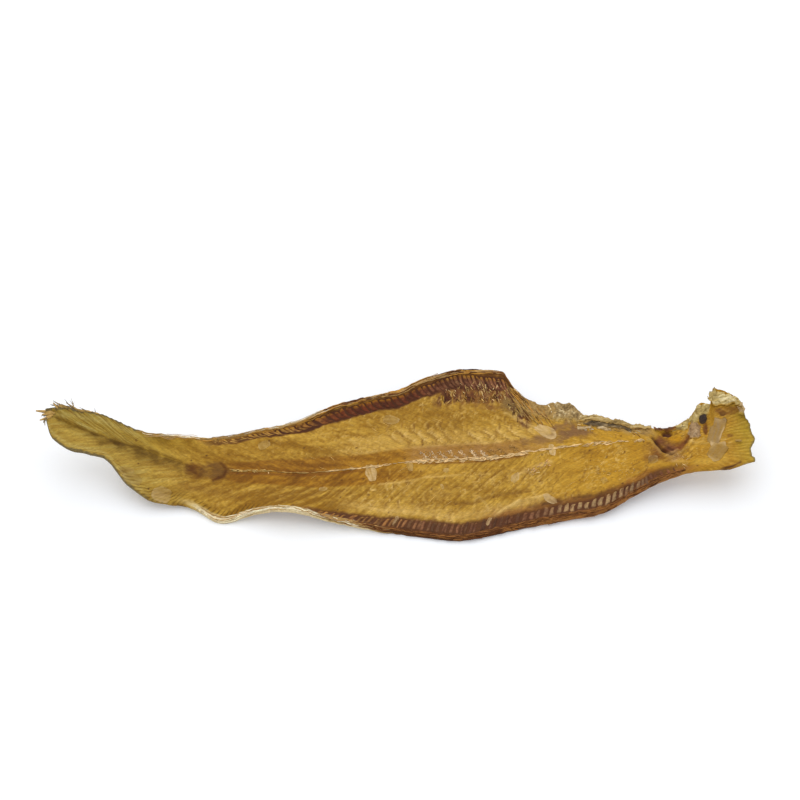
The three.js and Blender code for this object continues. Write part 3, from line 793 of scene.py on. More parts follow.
def dark_dots(f):
    """1 on small round dots, at most one in each square cell."""
    column = np.floor(f.x / DOT_CELL)
    row = np.floor(f.y / DOT_CELL)
    x = (column + 0.5 + 0.45 * noise(column, row, 68)) * DOT_CELL
    y = (row + 0.5 + 0.45 * noise(column, row, 69)) * DOT_CELL
    return smooth(0.4, 0.15, np.hypot(f.x - x, f.y - y)) * (noise(column, row, 77) > 0.55)


def leather_lines(f):
    """1 in the fine cracks that wander over the flesh towards the neck, and in the neck's wrinkles."""
    slanting = noise(f.x / 8, f.lay / 3.4, 29) + 0.2 * noise(f.x / 2.5, f.lay, 30)
    level = noise(f.x / 7, f.across / 3, 31) + 0.2 * noise(f.x / 2, f.across, 32)
    lines = np.maximum(thin_lines(slanting, 0.05), 0.7 * thin_lines(level, 0.05))
    shown = within(f, RUN.cracks) * smooth(0, 3, f.edge)
    return np.maximum(shown * lines, neck_wrinkles(f, 31))


def neck_wrinkles(f, seed):
    """1 on the wrinkles of the neck, which fall to its middle from both sides."""
    shown = within(f, RUN.neck) * window(-5.5, 4, 1.5, f.y)
    side = smooth(89, 91.5, f.x + 0.5 * f.y)
    falling = layered_noise((f.x - f.y) / 4, (f.y + 1.1 * f.x) / 1.1, seed)
    rising = layered_noise((f.x + f.y) / 4, (f.y - f.x) / 1.0, seed + 5)
    return shown * thin_lines(falling * (1 - side) + rising * side, 0.14)


def patch_share(f, x, y, half_length, half_width, turn, ragged):
    """1 inside a turned oval with a ragged border."""
    angle = np.radians(turn)
    along = (f.x - x) * np.cos(angle) + (f.y - y) * np.sin(angle)
    side = (f.y - y) * np.cos(angle) - (f.x - x) * np.sin(angle)
    return smooth(1.2, 0.6, np.hypot(along / half_length, side / half_width) + ragged * grain(f, CRUMB_GRAIN))


def mark_share(f, points, width):
    """1 on a line through plan points, fading over width to its sides."""
    distance = np.full(f.y.shape, np.inf)
    for (x1, y1), (x2, y2) in zip(points, points[1:]):
        run = (x2 - x1) ** 2 + (y2 - y1) ** 2
        share = np.clip(((f.x - x1) * (x2 - x1) + (f.y - y1) * (y2 - y1)) / run, 0, 1)
        distance = np.minimum(distance, np.hypot(f.x - x1 - share * (x2 - x1), f.y - y1 - share * (y2 - y1)))
    return bump(distance + 0.4 * width * grain(f, CRUMB_GRAIN), width)


def spots(f):
    """Patches and lines with a place of their own: share at each place, height, colour and strength."""
    for *place, tall, tone, strength in PATCHES:
        yield patch_share(f, *place), tall, tone, strength
    for points, width, tall, tone, strength in MARKS:
        yield mark_share(f, points, width), tall, tone, strength


def relief(f):
    """Height of the shown face's relief over the plain sheet."""
    body = smooth(TAIL_X, TAIL_X + 25, f.station) * (1 - f.fan)
    comb = comb_share(f)
    rays = fin_rays(f)
    height = body * (RISE.ridge * bump(f.across, 0.9) - SINK.shoulder * bump(f.reach - 4.5, 2.4))
    height += RISE.fan * f.fan * np.cos(fan_rays(f))
    height += comb * (RISE.tooth * rays - SINK.comb) + RISE.ray * ray_share(f) * rays
    height += RISE.hem * body * bump(f.edge - 0.7, 0.6)
    marks = RISE.leaf * muscle_bands(f) - SINK.dash * pocket_dashes(f)
    height += marks - SINK.crack * leather_lines(f) + RISE.imprint * scale_imprints(f)
    height += RISE.streak * tail_streaks(f) - SINK.streak * soft_streaks(f)
    height -= SINK.stroke * body * (1 - comb) * stroke_marks(f)
    swell = RISE.swell * body * grain(f, SWELL_GRAIN)
    height += swell + RISE.fine * grain(f, FINE_GRAIN) + RISE.fibre * fibrous(f, FIBRE_GRAIN)
    for share, tall, _, _ in spots(f):
        height += tall * share
    torn = f.back * within(f, RUN.torn_skin) * smooth(5, 1, f.edge)
    return height + RISE.torn * torn * grain(f, TORN_GRAIN)


def shown_points(f):
    """The shown face: the plain sheet with its relief."""
    return np.stack([f.x, f.y, f.z + relief(f)], -1)


def under_points(f):
    """The underside: below the plain sheet by its thickness, and flat where it meets the floor."""
    edge_thickness = np.where(f.back, guide(BACK_THICKNESS, f.station), guide(FRONT_THICKNESS, f.station))
    middle_thickness = guide(THICKNESS, f.station)
    share = np.abs(f.t) ** SECTION_CURVE
    thickness = middle_thickness + (edge_thickness - middle_thickness) * share
    wrinkle = 0.25 * layered_noise(f.station / 7, f.y / 3, 41) - 0.25
    return np.stack([f.x, f.y, np.maximum(0, f.z - thickness + wrinkle * (1 - share))], -1)


def face_at(x, y):
    """The shown face's fields at plan places (x, y)."""
    x = np.asarray(x, float)
    y = np.asarray(y, float)
    middle = guide(MIDLINE, x, 1)
    edge = np.where(y >= middle, edge_line(x, True)[0], edge_line(x, False)[0])
    return fields(x, np.clip((y - middle) / np.abs(edge - middle), -1, 1))


def sampled(table, x, y):
    """Values at plan places (x, y), read between the values of the sheet's grid."""
    f = face_at(x, y)
    i = np.interp(f.station, GRID_STATIONS, np.arange(STATIONS + 1))
    j = np.interp(f.t, GRID_ROWS, np.arange(ROWS + 1))
    low_i = np.minimum(i.astype(int), STATIONS - 1)
    low_j = np.minimum(j.astype(int), ROWS - 1)
    share_i = (i - low_i)[..., None]
    share_j = (j - low_j)[..., None]
    near = table[low_i, low_j] * (1 - share_i) + table[low_i + 1, low_j] * share_i
    far = table[low_i, low_j + 1] * (1 - share_i) + table[low_i + 1, low_j + 1] * share_i
    return near * (1 - share_j) + far * share_j


def over_face(x, y, lift):
    """Points at (x, y) that lie lift above the shown face."""
    height = sampled(TOP_POINTS, x, y)[..., 2]
    return np.stack([np.asarray(x, float), np.asarray(y, float), height + lift], -1)


def face_colour(x, y):
    """Colours of the shown face at plan places (x, y)."""
    return sampled(TOP_COLOURS, x, y)


def blend(colour, target, weight):
    """Colours moved towards a target by a weight for each place, which is cut off at 0 and 1."""
    return colour + (np.asarray(target, float) - colour) * np.clip(weight, 0, 1)[..., None]


def coated(colour, coats):
    """Colours moved towards the tones of coats in turn, each coat as (tone, weight)."""
    for tone, weight in coats:
        colour = blend(colour, tone, weight)
    return colour


def plain(colour, like):
    """One colour at each place of an array."""
    return np.broadcast_to(np.array(colour, float), np.shape(like) + (3,))


def linear(colour):
    """Scene-linear values of 0 to 255 display colours."""
    share = np.clip(np.asarray(colour, float) / 255, 0, 1)
    return np.where(share <= 0.04045, share / 12.92, ((share + 0.055) / 1.055) ** 2.4)


def flesh_colour(f):
    """Golden flesh with patches and slanting fibres, amber towards the head and green towards the tail."""
    share = 0.58 - 0.27 * smooth(0, -42, f.station) * (1 - f.tail) + 0.45 * grain(f, PATCH_GRAIN)
    mottle = 0.4 - 0.18 * smooth(40, 60, f.station)
    fibres = 0.48 * smooth(-60, -20, f.station) - 0.2 * smooth(45, 65, f.station)
    share = share + mottle * grain(f, MOTTLE_GRAIN) + fibres * fibrous(f, FIBRE_GRAIN) - 0.8 * soft_streaks(f)
    share = share + 0.15 * f.back * within(f, RUN.pale_back) * smooth(4, 7, f.reach)
    share = share - 0.3 * ~f.back * within(f, RUN.deep_front) * smooth(6, 9, f.reach)
    rim = f.x + 2 * noise(f.x / 3, f.y / 3, 66) - 0.2 * np.abs(f.y - 2)
    return coated(plain(FLESH_DEEP, f.y), [
        (FLESH_GOLD, share),
        (FLESH_PALE, 0.25 * f.back * window(7, 11.5, 2.5, f.reach) * within(f, RUN.pale_flank)),
        (FLESH_DEEP, 0.4 * f.back * window(16, 26, 4, f.reach) * within(f, RUN.deep_flank)),
        (FLESH_AMBER, 0.4 * smooth(35, 75, f.station) * (1 - f.fan)),
        (np.where(f.back[..., None], TAIL_GOLD, TAIL_GREEN), 0.7 * smooth(-55, -95, f.station)),
        (FAN_YELLOW, 0.6 * smooth(97, 104, f.station)),
        (FAN_GREEN, 0.85 * smooth(108, 116, rim)),
    ])


def line_colour(f, colour):
    """Ribs of the fan, leaves and strokes of the muscle, scale pockets, wrinkles and cracks."""
    ribs = np.cos(fan_rays(f))
    ribbed = smooth(95, 101, f.station)
    # The scale imprints' pale crescents and dark lines are painted highlight and shade of their edges
    bands = 0.8 * muscle_bands(f) + 0.5 * scale_imprints(f)
    return coated(colour, [
        (FLESH_DARK, 0.2 * ribbed * smooth(0, -1, ribs)),
        (FLESH_PALE, 0.3 * ribbed * smooth(0.2, 1, ribs) * smooth(-0.4, 0.4, grain(f, MOTTLE_GRAIN))),
        (FLESH_PALE, bands),
        (FLESH_DARK, np.maximum(-0.6 * bands, 0.65 * pocket_dashes(f))),
        (FLESH_DARK, 0.55 * stroke_marks(f)),
        (FLESH_PALE, 0.6 * neck_wrinkles(f, 42)),
        (FLESH_DARK, 0.6 * leather_lines(f)),
    ])


def fleck_colour(f, colour):
    """Pale wrinkles, pale flecks of painted glint, dark cracks and a few dark dots over the flesh."""
    body = (1 - f.tail) * (1 - 0.6 * f.fan) * smooth(2, 5, f.edge)
    headward = 0.4 + 0.6 * smooth(-50, -10, f.station)
    wrinkled = smooth(-0.4, 0.5, noise(f.x / 8, f.y / 5, 64))
    slanting = thin_lines(layered_noise(f.x / 5, f.lay / 1.5, 63), 0.07)
    level = thin_lines(layered_noise(f.x / 6, f.across / 1.3, 78), 0.05)
    depth = 0.5 - 0.35 * smooth(36, 56, f.station)
    cracks = thin_lines(layered_noise(f.x / 4 + 7, f.lay / 1.8, 79), 0.05)
    cracked = smooth(-0.3, 0.6, noise(f.x / 7, f.y / 6, 80))
    glint_patches = smooth(-0.3, 0.6, noise(f.x / 8, f.y / 5, 67))
    # Pale flecks: painted glints of the oily flesh, in patches
    painted_glints = smooth(0.62, 0.85, noise(f.x / 0.8, f.y / 0.8, 65)) * glint_patches
    return coated(colour, [
        (FLESH_PALE, 0.55 * body * wrinkled * headward * np.maximum(slanting, level)),
        (FLESH_DARK, depth * body * cracks * cracked),
        # painted glints
        (FLESH_PALE, 0.75 * body * painted_glints * headward),
        (NECK_DARK, 0.85 * dark_dots(f)),
    ])


def core_colour(f, colour):
    """The darker band on the lateral line, with reddish strokes tailwards and grey flesh by the braid."""
    core = core_share(f)
    tinted = core * np.where(f.back, smooth(60, 30, f.station), smooth(24, -8, f.station))
    wave = np.cos(2 * np.pi * f.stroke / CORE_STROKE_PITCH) + layered_noise(f.stroke / 2, f.across / 3, 70)
    strokes = smooth(0.1, 0.9, wave)
    stroked = core * f.back * within(f, RUN.core_strokes)
    crumbly = smooth(-0.5, 0.5, grain(f, MOTTLE_GRAIN) + 0.6 * fibrous(f, FIBRE_GRAIN))
    # Painted shadow along the lateral line's front side
    shadow = bump(f.across + 0.9, 0.4) * np.maximum(within(f, RUN.tail_shadow), within(f, RUN.braid_shadow))
    bare = bump(f.across, 0.5) * within(f, RUN.bare_line)
    return coated(colour, [
        (colour * CORE_TINT, tinted),
        (CORE_PALE, 0.08 * stroked * (1 - strokes)),
        (CORE_RED, 0.24 * stroked * strokes),
        (CORE_GREY, (0.5 + 0.5 * crumbly) * core * f.back * within(f, RUN.braid)),
        # Painted shadow below the line, and the bare line's own dark orange
        (CORE_RED, 0.65 * np.maximum(shadow, bare)),
    ])


def spot_colour(f, colour):
    """Patches and lines that have a place of their own."""
    broken = np.clip(0.85 + 0.8 * grain(f, BREAK_GRAIN), 0, 1.1)
    return coated(colour, [(tone, strength * broken * share) for share, _, tone, strength in spots(f)])


def comb_colour(f, colour):
    """The comb bands, the pale strip and brown lip by the front one and the brown spread by the back one."""
    inner = guide(FRONT_COMB.band, f.station, 2)
    strip = bump(f.edge - inner - 2.5, 2) * ~f.back * within(f, RUN.pale_strip)
    lip = smooth(5, 0, f.edge - inner) * ~f.back * within(f, RUN.lip)
    border = smooth(2.2, 0.5, f.edge - inner + 0.6 * wander(f.station, 2.5, 0, 60))
    spread = f.back * within(f, RUN.spread) * window(4, 10, 3, f.edge)
    return coated(colour, [
        (FLESH_PALE, 0.65 * strip * (0.7 + 0.5 * layered_noise(f.station / 7, f.edge / 0.7, 73))),
        (NECK_BROWN, 0.3 * lip * (0.7 + 0.5 * noise(f.station / 2, f.edge / 2, 75))),
        (NECK_RED, 0.4 * lip * border),
        (SPREAD_DARK, spread * smooth(-0.05, 0.25, layered_noise(f.x / 0.9, f.edge / 3, 35))),
        (FLESH_PALE, 0.9 * spread * thin_lines(layered_noise(f.x / 0.9, f.edge / 2.4, 36), 0.12)),
        (np.where(f.back[..., None], BAND_BACK, BAND_FRONT), 0.92 * comb_share(f)),
    ])


def ray_colour(f, colour):
    """The fin rays of the tail, and the dark grooves in the lobes of the front edge."""
    rays = fin_rays(f)
    shown = ray_share(f)
    streaks = tail_streaks(f)
    lobes = np.maximum(within(f, RUN.lobe), 0.7 * within(f, RUN.tail_lobe))
    lobed = ~f.back * smooth(4.5, 2.5, f.edge) * lobes
    return coated(colour, [
        (FLESH_DARK, 0.15 * smooth(0.2, -0.8, rays) * shown - 0.9 * np.minimum(streaks, 0)),
        (RAY_PALE, 0.2 * smooth(0.2, 0.9, rays) * shown + 0.9 * np.maximum(streaks, 0)),
        (STRIPE_DARK, 0.8 * smooth(-0.5, -0.95, rays) * lobed),
    ])


def rim_colour(f, colour):
    """Grey rims of the tail and the fan, gold and brown hems, the cream front rim and the torn membrane."""
    tail = smooth(-75, -90, f.station)
    tail_rim = smooth(0.6, 0.2, f.edge + 0.25 * wander(f.station, 0.9, 0, 76))
    rim = smooth(1.6, 0.4, f.edge + 0.5 * wander(f.station, 1.5, 0, 58))
    hem = smooth(3.4, 2, f.edge) * f.back * within(f, RUN.back_hem)
    cream = smooth(2.4, 0.9, f.edge + 0.4 * noise(f.station / 1.2, f.edge, 59)) * smooth(-0.1, 0.3, f.edge)
    torn = f.back * within(f, RUN.torn_tan) * smooth(5, 2, f.edge + grain(f, CRUMB_GRAIN))
    return coated(colour, [
        (RAY_PALE, 0.35 * tail * bump(f.edge - 1.3, 0.6)),
        (TAIL_GREY, 0.9 * tail * tail_rim),
        (RIM_BROWN, 0.85 * hem * (1 - comb_share(f))),
        (RIM_GOLD, 0.75 * rim * f.back * within(f, RUN.gold_rim)),
        (RIM_CREAM, 0.65 * smooth(0.6, 0, f.edge) * ~f.back * within(f, RUN.cream_edge)),
        (RIM_CREAM, 0.85 * cream * ~f.back * within(f, RUN.cream_rim)),
        (RIM_BROWN, 0.85 * rim * ~f.back * within(f, RUN.brown_rim)),
        (RIM_ORANGE, 0.7 * smooth(2.6, 1.6, f.edge) * ~f.back * within(f, RUN.orange_rim)),
        (MEMBRANE_TAN, 0.7 * torn),
        (TAIL_GREY, 0.55 * smooth(HEAD_X - 0.9, HEAD_X - 0.2, f.station)),
    ])


def shown_colour(f):
    """Colours of the shown face, from the flesh out to what lies over it."""
    colour = flesh_colour(f)
    for over in (line_colour, fleck_colour, core_colour, comb_colour, ray_colour, spot_colour, rim_colour):
        colour = over(f, colour)
    return colour


def grid_faces(index):
    """Quads between the neighbours of a two-way table of point numbers."""
    corners = [index[:-1, :-1], index[1:, :-1], index[1:, 1:], index[:-1, 1:]]
    return np.stack([c.ravel() for c in corners], -1).tolist()


def linked(name, data):
    """A new object of the scene from its data."""
    thing = bpy.data.objects.new(name, data)
    bpy.context.scene.collection.objects.link(thing)
    return thing


def make_piece(name, points, faces, material, colour, lay=None):
    """A smooth mesh piece in metres that rides on the fillet, with colours and grain as attributes."""
    mesh = bpy.data.meshes.new(name)
    mesh.from_pydata((np.asarray(points) * MM).tolist(), [], faces)
    mesh.polygons.foreach_set("use_smooth", np.ones(len(mesh.polygons), bool))
    rgba = np.concatenate([linear(colour), np.ones((len(points), 1))], -1)
    mesh.attributes.new("tint", "FLOAT_COLOR", "POINT").data.foreach_set("color", rgba.ravel())
    if lay is not None:
        mesh.attributes.new("grain", "FLOAT_VECTOR", "POINT").data.foreach_set("vector", lay.ravel())
    mesh.materials.append(material)
    mesh.validate()
    piece = linked(name, mesh)
    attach(piece, "root")
    return piece


def crowded(count, low, high, crowd):
    """Values from low to high that lie closer together towards both ends."""
    w = np.linspace(-1, 1, count)
    share = w * (1 + crowd * (1 - w * w))
    return low + (high - low) * (share + 1) / 2


def make_sheet(material, top):
    """The fillet itself: shown face, underside and the walls between them as one closed mesh."""
    x = top.station
    under = fields(x[::UNDER_SKIP, ::UNDER_SKIP], top.t[::UNDER_SKIP, ::UNDER_SKIP])
    points = np.concatenate([TOP_POINTS.reshape(-1, 3), under_points(under).reshape(-1, 3)])
    top_index = np.arange(x.size).reshape(x.shape)
    under_index = x.size + np.arange(under.x.size).reshape(under.x.shape)
    faces = grid_faces(top_index) + grid_faces(under_index[::-1])
    for row, turned in ((0, False), (-1, True)):
        faces += edge_wall(top_index[:, row], under_index[:, row], turned)
    for end, turned in ((0, True), (-1, False)):
        faces += edge_wall(top_index[end], under_index[end], turned)
    under_colour = TOP_COLOURS[::UNDER_SKIP, ::UNDER_SKIP]
    colour = np.concatenate([TOP_COLOURS.reshape(-1, 3), under_colour.reshape(-1, 3)])
    lay = np.concatenate([np.stack([f.x, f.lay, f.t], -1).reshape(-1, 3) for f in (top, under)])
    return make_piece("fillet_flesh", points, faces, material, colour, lay)


def edge_wall(top, under, turned):
    """Faces between a run of shown points and the run of fewer underside points below it."""
    skip = (len(top) - 1) // (len(under) - 1)
    half = (skip + 1) // 2
    faces = []
    for k in range(len(under) - 1):
        run = top[k * skip:(k + 1) * skip + 1]
        for i in range(skip):
            low = under[k] if i < half else under[k + 1]
            faces.append([run[i], low, run[i + 1]])
        faces.append([under[k], under[k + 1], run[half]])
    if turned:
        faces = [face[::-1] for face in faces]
    return [[int(i) for i in face] for face in faces]


def slab(top, thickness):
    """Points and faces of a closed thin sheet below a two-way table of points, which is turned to face up."""
    across = np.cross(top[1:, :-1] - top[:-1, :-1], top[:-1, 1:] - top[:-1, :-1])
    if across[..., 2].sum() < 0:
        top = top[::-1]
    rows, columns = top.shape[:2]
    index = np.arange(rows * columns).reshape(rows, columns)
    border = np.concatenate([index[:-1, 0], index[-1, :-1], index[:0:-1, -1], index[0, :0:-1]])
    after = np.roll(border, -1)
    wall = np.stack([border, border + index.size, after + index.size, after], -1).tolist()
    low = top - np.array([0, 0, thickness])
    points = np.concatenate([top.reshape(-1, 3), low.reshape(-1, 3)])
    return points, grid_faces(index) + grid_faces(index[::-1] + index.size) + wall


def tube(path, radii, sides=STRAND_SIDES):
    """Points and faces of a closed tube along a path, with a radius at each of its points."""
    path = np.asarray(path, float)
    run = np.gradient(path, axis=0)
    run /= np.linalg.norm(run, axis=1, keepdims=True) + TINY
    side = np.cross(run, NEARLY_UP)
    side /= np.linalg.norm(side, axis=1, keepdims=True) + TINY
    rise = np.cross(side, run)
    turn = np.linspace(0, 2 * np.pi, sides, endpoint=False)
    ring = side[:, None] * np.cos(turn)[:, None] + rise[:, None] * np.sin(turn)[:, None]
    points = path[:, None] + ring * np.broadcast_to(radii, len(path))[:, None, None]
    index = np.arange(len(path) * sides).reshape(len(path), sides)
    closed = np.concatenate([index, index[:, :1]], 1)
    caps = [index[0].tolist(), index[-1, ::-1].tolist()]
    return points.reshape(-1, 3), grid_faces(closed) + caps


def spindle(count, blunt, power):
    """Shares of a radius along a strand that narrows to both ends, which are blunter for a larger blunt."""
    return np.sin(np.pi * np.linspace(blunt, 1 - blunt, count)) ** power


class Heap:
    """Small closed meshes gathered into one piece."""

    def __init__(self):
        self.points = []
        self.colours = []
        self.faces = []
        self.count = 0

    def add(self, shape, colour):
        """Adds one mesh, in one colour or in a colour for each of its points."""
        points, faces = shape
        self.points.append(points)
        self.colours.append(np.broadcast_to(np.asarray(colour, float), points.shape))
        self.faces += [[i + self.count for i in face] for face in faces]
        self.count += len(points)

    def add_slab(self, top, thickness, colour):
        """Adds a slab whose underside repeats the colours of its shown face."""
        flat = colour.reshape(-1, 3)
        self.add(slab(top, thickness), np.concatenate([flat, flat]))

    def piece(self, name, material):
        """The gathered meshes under a piece's name."""
        points = np.concatenate(self.points)
        return make_piece(name, points, self.faces, material, np.concatenate(self.colours))


def add_tooth(heap, comb, x0, uneven, dice):
    """One tooth that starts at x0: a low rounded bar across the comb's band, darker at its rim."""
    long, wide = TOOTH_GRID
    along, side = np.meshgrid(np.linspace(0, 1, long), np.linspace(-1, 1, wide), indexing="ij")
    outer = guide(comb.band, x0, 1) + dice.uniform(-0.2, 0.3)
    inner = guide(comb.band, x0, 2) - dice.uniform(-0.3, 0.5)
    distance = outer + (inner - outer) * along
    half = 0.5 * comb.fill * guide(comb.pitch, x0) * dice.uniform(0.95 - uneven, 1.05)
    bend = comb.sweep * along ** 3 + 0.2 * dice.normal() * np.sin(np.pi * along)
    x = x0 + guide(comb.lean, x0) * distance + bend + half * side * (1 - comb.taper * along ** 1.5)
    edge_y = edge_line(x, comb.back)[0]
    y = edge_y - distance if comb.back else edge_y + distance
    crest = (1 - np.abs(side) ** 3) * (1 - (2 * along - 1) ** 6)
    tall = guide(comb.strength, x0) * dice.uniform(*TOOTH_HEIGHT)
    lift = tall * crest - TOOTH_SINK + 0.1 * noise(x / 0.7, y / 0.7, 81)
    shade = dice.uniform(1 - uneven, 1.15)
    tone = [guide(comb.tones, x0, i) * shade for i in (1, 2, 3)]
    colour = coated(plain(tone, x), [
        (FLESH_PALE, 0.35 * layered_noise(x / 0.5, y / 0.9, 80)),
        (comb.groove, 0.8 * np.abs(side) ** 4 + 0.6 * smooth(0.75, 1, along)),
        (FLESH_AMBER, comb.tips * smooth(0.4, 0.05, along) * smooth(1, 0.6, np.abs(side))),
        (comb.groove, 1.1 * layered_noise(x / 1.1, y / 1.1, 82)),
    ])
    heap.add_slab(over_face(x, y, lift), TOOTH_THICKNESS, colour)


def make_teeth(name, comb, material, dice):
    """The comb's separate teeth, with thin dark grooves between them."""
    heap = Heap()
    steps = np.linspace(comb.band[0][0], comb.band[-1][0], TOOTH_STEPS)
    phases = tooth_phase(comb.pitch, steps)
    for n in range(int(np.ceil(phases[0])), int(phases[-1])):
        uneven = guide(comb.uneven, np.interp(n, phases, steps))
        x0 = np.array(np.interp(n + uneven * dice.uniform(-1, 1), phases, steps))
        if guide(comb.strength, x0) >= TOOTH_WEAKEST and x0 <= comb.last:
            add_tooth(heap, comb, x0, uneven, dice)
    return heap.piece(name, material)


def make_line(material, dice):
    """The lateral line: a thin pale thread of short strands, broken tailwards and braided in the middle."""
    heap = Heap()
    for low, high, count, longest, radius, stray, tone in LINE_STRETCHES:
        for _ in range(count):
            run = np.arange(0, longest * dice.uniform(0.4, 1.2), LINE_STEP)
            x = run + dice.uniform(low, high - 0.5 * longest)
            if len(x) < LINE_LEAST:
                continue
            y = guide(MIDLINE, x, 1) + stray * wander(x, 2.2, dice.uniform(*SHIFTS), 83)
            lift = 0.05 + 0.15 * dice.random() + 0.12 * wander(x, 1.1, dice.uniform(*SHIFTS), 84)
            radii = radius * dice.uniform(0.7, 1.2) * spindle(len(x), 0.04, 0.6)
            heap.add(tube(over_face(x, y, lift), radii), np.array(tone, float) * dice.uniform(0.75, 1.06))
    return heap.piece("lateral_line", material)


def disc_grid(count, squareness=0.0):
    """Two-way tables of places in a unit disc, or nearly a square, and how near each is to the rim."""
    a, b = np.meshgrid(np.linspace(-1, 1, count), np.linspace(-1, 1, count), indexing="ij")
    round_off = (1 - squareness) / 2
    rim = np.maximum(np.abs(a), np.abs(b))
    return a * np.sqrt(1 - round_off * b * b), b * np.sqrt(1 - round_off * a * a), rim


def turned(x, y, along, side, turn):
    """Plan places of along and side offsets from (x, y), turned by degrees."""
    cos = np.cos(np.radians(turn))
    sin = np.sin(np.radians(turn))
    return x + along * cos - side * sin, y + along * sin + side * cos


def make_flakes(material, dice):
    """Pale slanting flakes with beds of crumbs, on the back side of the lateral line where it is braided."""
    heap = Heap()
    u, v, rim = disc_grid(FLAKE_GRID)
    for x0 in np.arange(*FLAKE_RUN):
        x0 = x0 + dice.uniform(-0.5, 0.5)
        half = dice.uniform(*FLAKE_HALF)
        white = 1 - 0.75 * smooth(FLAKE_DULL_X, FLAKE_DULL_X + 5, x0)
        y0 = guide(MIDLINE, np.array(x0), 1) + 0.8 + half * dice.uniform(0.75, 0.9)
        x, y = turned(x0, y0, half * u, dice.uniform(0.6, 0.9) * v, dice.normal(FLAKE_TURN, 5))
        crumbs = smooth(-0.1, 0.35, layered_noise(x / 0.7, y / 0.8, 91))
        shown = white * dice.uniform(0.3, 0.7) * crumbs * smooth(1, 0.6, rim)
        lift = 0.2 * (1 - rim ** 2) + 0.2 * crumbs * (1 - rim) - 0.05
        heap.add_slab(over_face(x, y, lift), FLAKE_THICKNESS, blend(face_colour(x, y), FLAKE_WHITE, shown))
        for _ in range(FLAKE_CRUMBS):
            share = dice.uniform(-1, 1)
            at = turned(x0, y0, half * share, 0.4 * dice.normal(), FLAKE_TURN)
            tone = blend(face_colour(*at), FLAKE_WHITE, np.array(white * dice.uniform(0.4, 1)))
            face_strand(heap, dice, *at, dice.uniform(0, 180), (0.2, 0.45), (0.12, 0.22), tone, 0.2)
    return heap.piece("line_flakes", material)


def make_scales(material):
    """Loose scales: thin uneven ovals, palest along their rims, with faint streaks."""
    heap = Heap()
    for n, (x0, y0, half_length, half_width, turn, squareness, pale) in enumerate(SCALES):
        u, v, rim = disc_grid(SCALE_GRID, squareness)
        uneven = 1 + 0.12 * noise(2 * u + 9 * n, 2 * v, 85)
        along = u * half_length * uneven
        side = v * half_width * uneven
        x, y = turned(x0, y0, along, side, turn)
        lift = 0.05 + 0.15 * (1 - rim ** 2) + 0.05 * noise(along / 0.9, side / 0.6, 86 + n)
        streaks = 0.6 * layered_noise(along / 2.4, side / 0.5, 88 + n)
        worn = smooth(-0.3, 0.3, noise(u + n, v, 87))
        colour = coated(face_colour(x, y), [
            (SCALE_GREY if x0 > GREY_SCALES_X else SCALE_PALE, pale * (0.8 + 0.9 * streaks)),
            (SCALE_PALE, 0.9 * pale * smooth(0.62, 0.9, rim) * worn),
        ])
        heap.add_slab(over_face(x, y, lift), SCALE_THICKNESS, colour)
    return heap.piece("loose_scales", material)


def strand(heap, dice, start, way, length, radius, tone, curl):
    """One dried strand that leaves a start point along a way, bending a little."""
    share = np.linspace(0, 1, STRAND_POINTS)
    bend = dice.normal(0, curl, 3) * length
    path = np.asarray(start) + way * length * share[:, None] + bend * (share ** 2)[:, None]
    radii = radius * (0.3 + 0.7 * smooth(0, 0.3, share)) * (1 - 0.75 * share)
    heap.add(tube(path, radii), np.array(tone, float) * dice.uniform(0.8, 1.1))


def face_strand(heap, dice, x, y, turn, lengths, radii, tone, lift):
    """One waving fibre on the shown face at a turn in degrees, with ranges for its length and radius."""
    length = dice.uniform(*lengths)
    radius = dice.uniform(*radii)
    share = np.linspace(0, 1, max(FIBRE_LEAST, int(length / FIBRE_STEP)))
    angle = np.radians(turn) + 0.25 * dice.normal() * (share - 0.5)
    xs = x + np.cumsum(np.cos(angle)) * length / len(share)
    ys = y + np.cumsum(np.sin(angle)) * length / len(share)
    wave = lift * (0.5 + 0.5 * np.sin(np.pi * share * dice.uniform(0.8, 2))) + 0.02
    shape = tube(over_face(xs, ys, wave), radius * spindle(len(share), 0.06, 0.5), FIBRE_SIDES)
    heap.add(shape, np.array(tone, float) * dice.uniform(0.8, 1.12))


def make_fibres(material, dice):
    """Loose fibres: in the brown spread by the back comb, along the torn edge and singly on the flesh."""
    heap = Heap()
    for count, low, high, inset, turn, spread, lengths, radii, lift, tones in FIBRE_BEDS:
        for _ in range(count):
            x = dice.uniform(low, high)
            y = edge_line(np.array(x), True)[0] - dice.uniform(*inset)
            tone = tones[dice.integers(len(tones))]
            face_strand(heap, dice, x, y, dice.normal(turn, spread), lengths, radii, tone, lift)
    turns = np.degrees(np.arctan(FIBRE_SLOPES)) * (-1, 1)
    for _ in range(FLESH_FIBRES):
        x = dice.uniform(*FLESH_FIBRE_RUN)
        f = fields(np.array(x), np.array(dice.uniform(-0.7, 0.7)))
        turn = dice.normal(np.where(f.back, *turns), 10)
        face_strand(heap, dice, x, f.y, turn, FLESH_FIBRE_LENGTHS, FLESH_FIBRE_RADII, FLESH_PALE, 0.0)
    return heap.piece("fibres", material)


def make_crumbs(material, dice):
    """Pale crumbs of dried skin in small beds on the shown face."""
    heap = Heap()
    for count, x0, y0, half_length, half_width, turn, lengths, radii, tones in CRUMB_BEDS:
        for _ in range(count):
            x, y = turned(x0, y0, half_length * dice.uniform(-1, 1), half_width * dice.uniform(-1, 1), turn)
            tone = tones[dice.integers(len(tones))]
            face_strand(heap, dice, x, y, dice.normal(turn, 30), lengths, radii, tone, CRUMB_LIFT)
    return heap.piece("pale_crumbs", material)


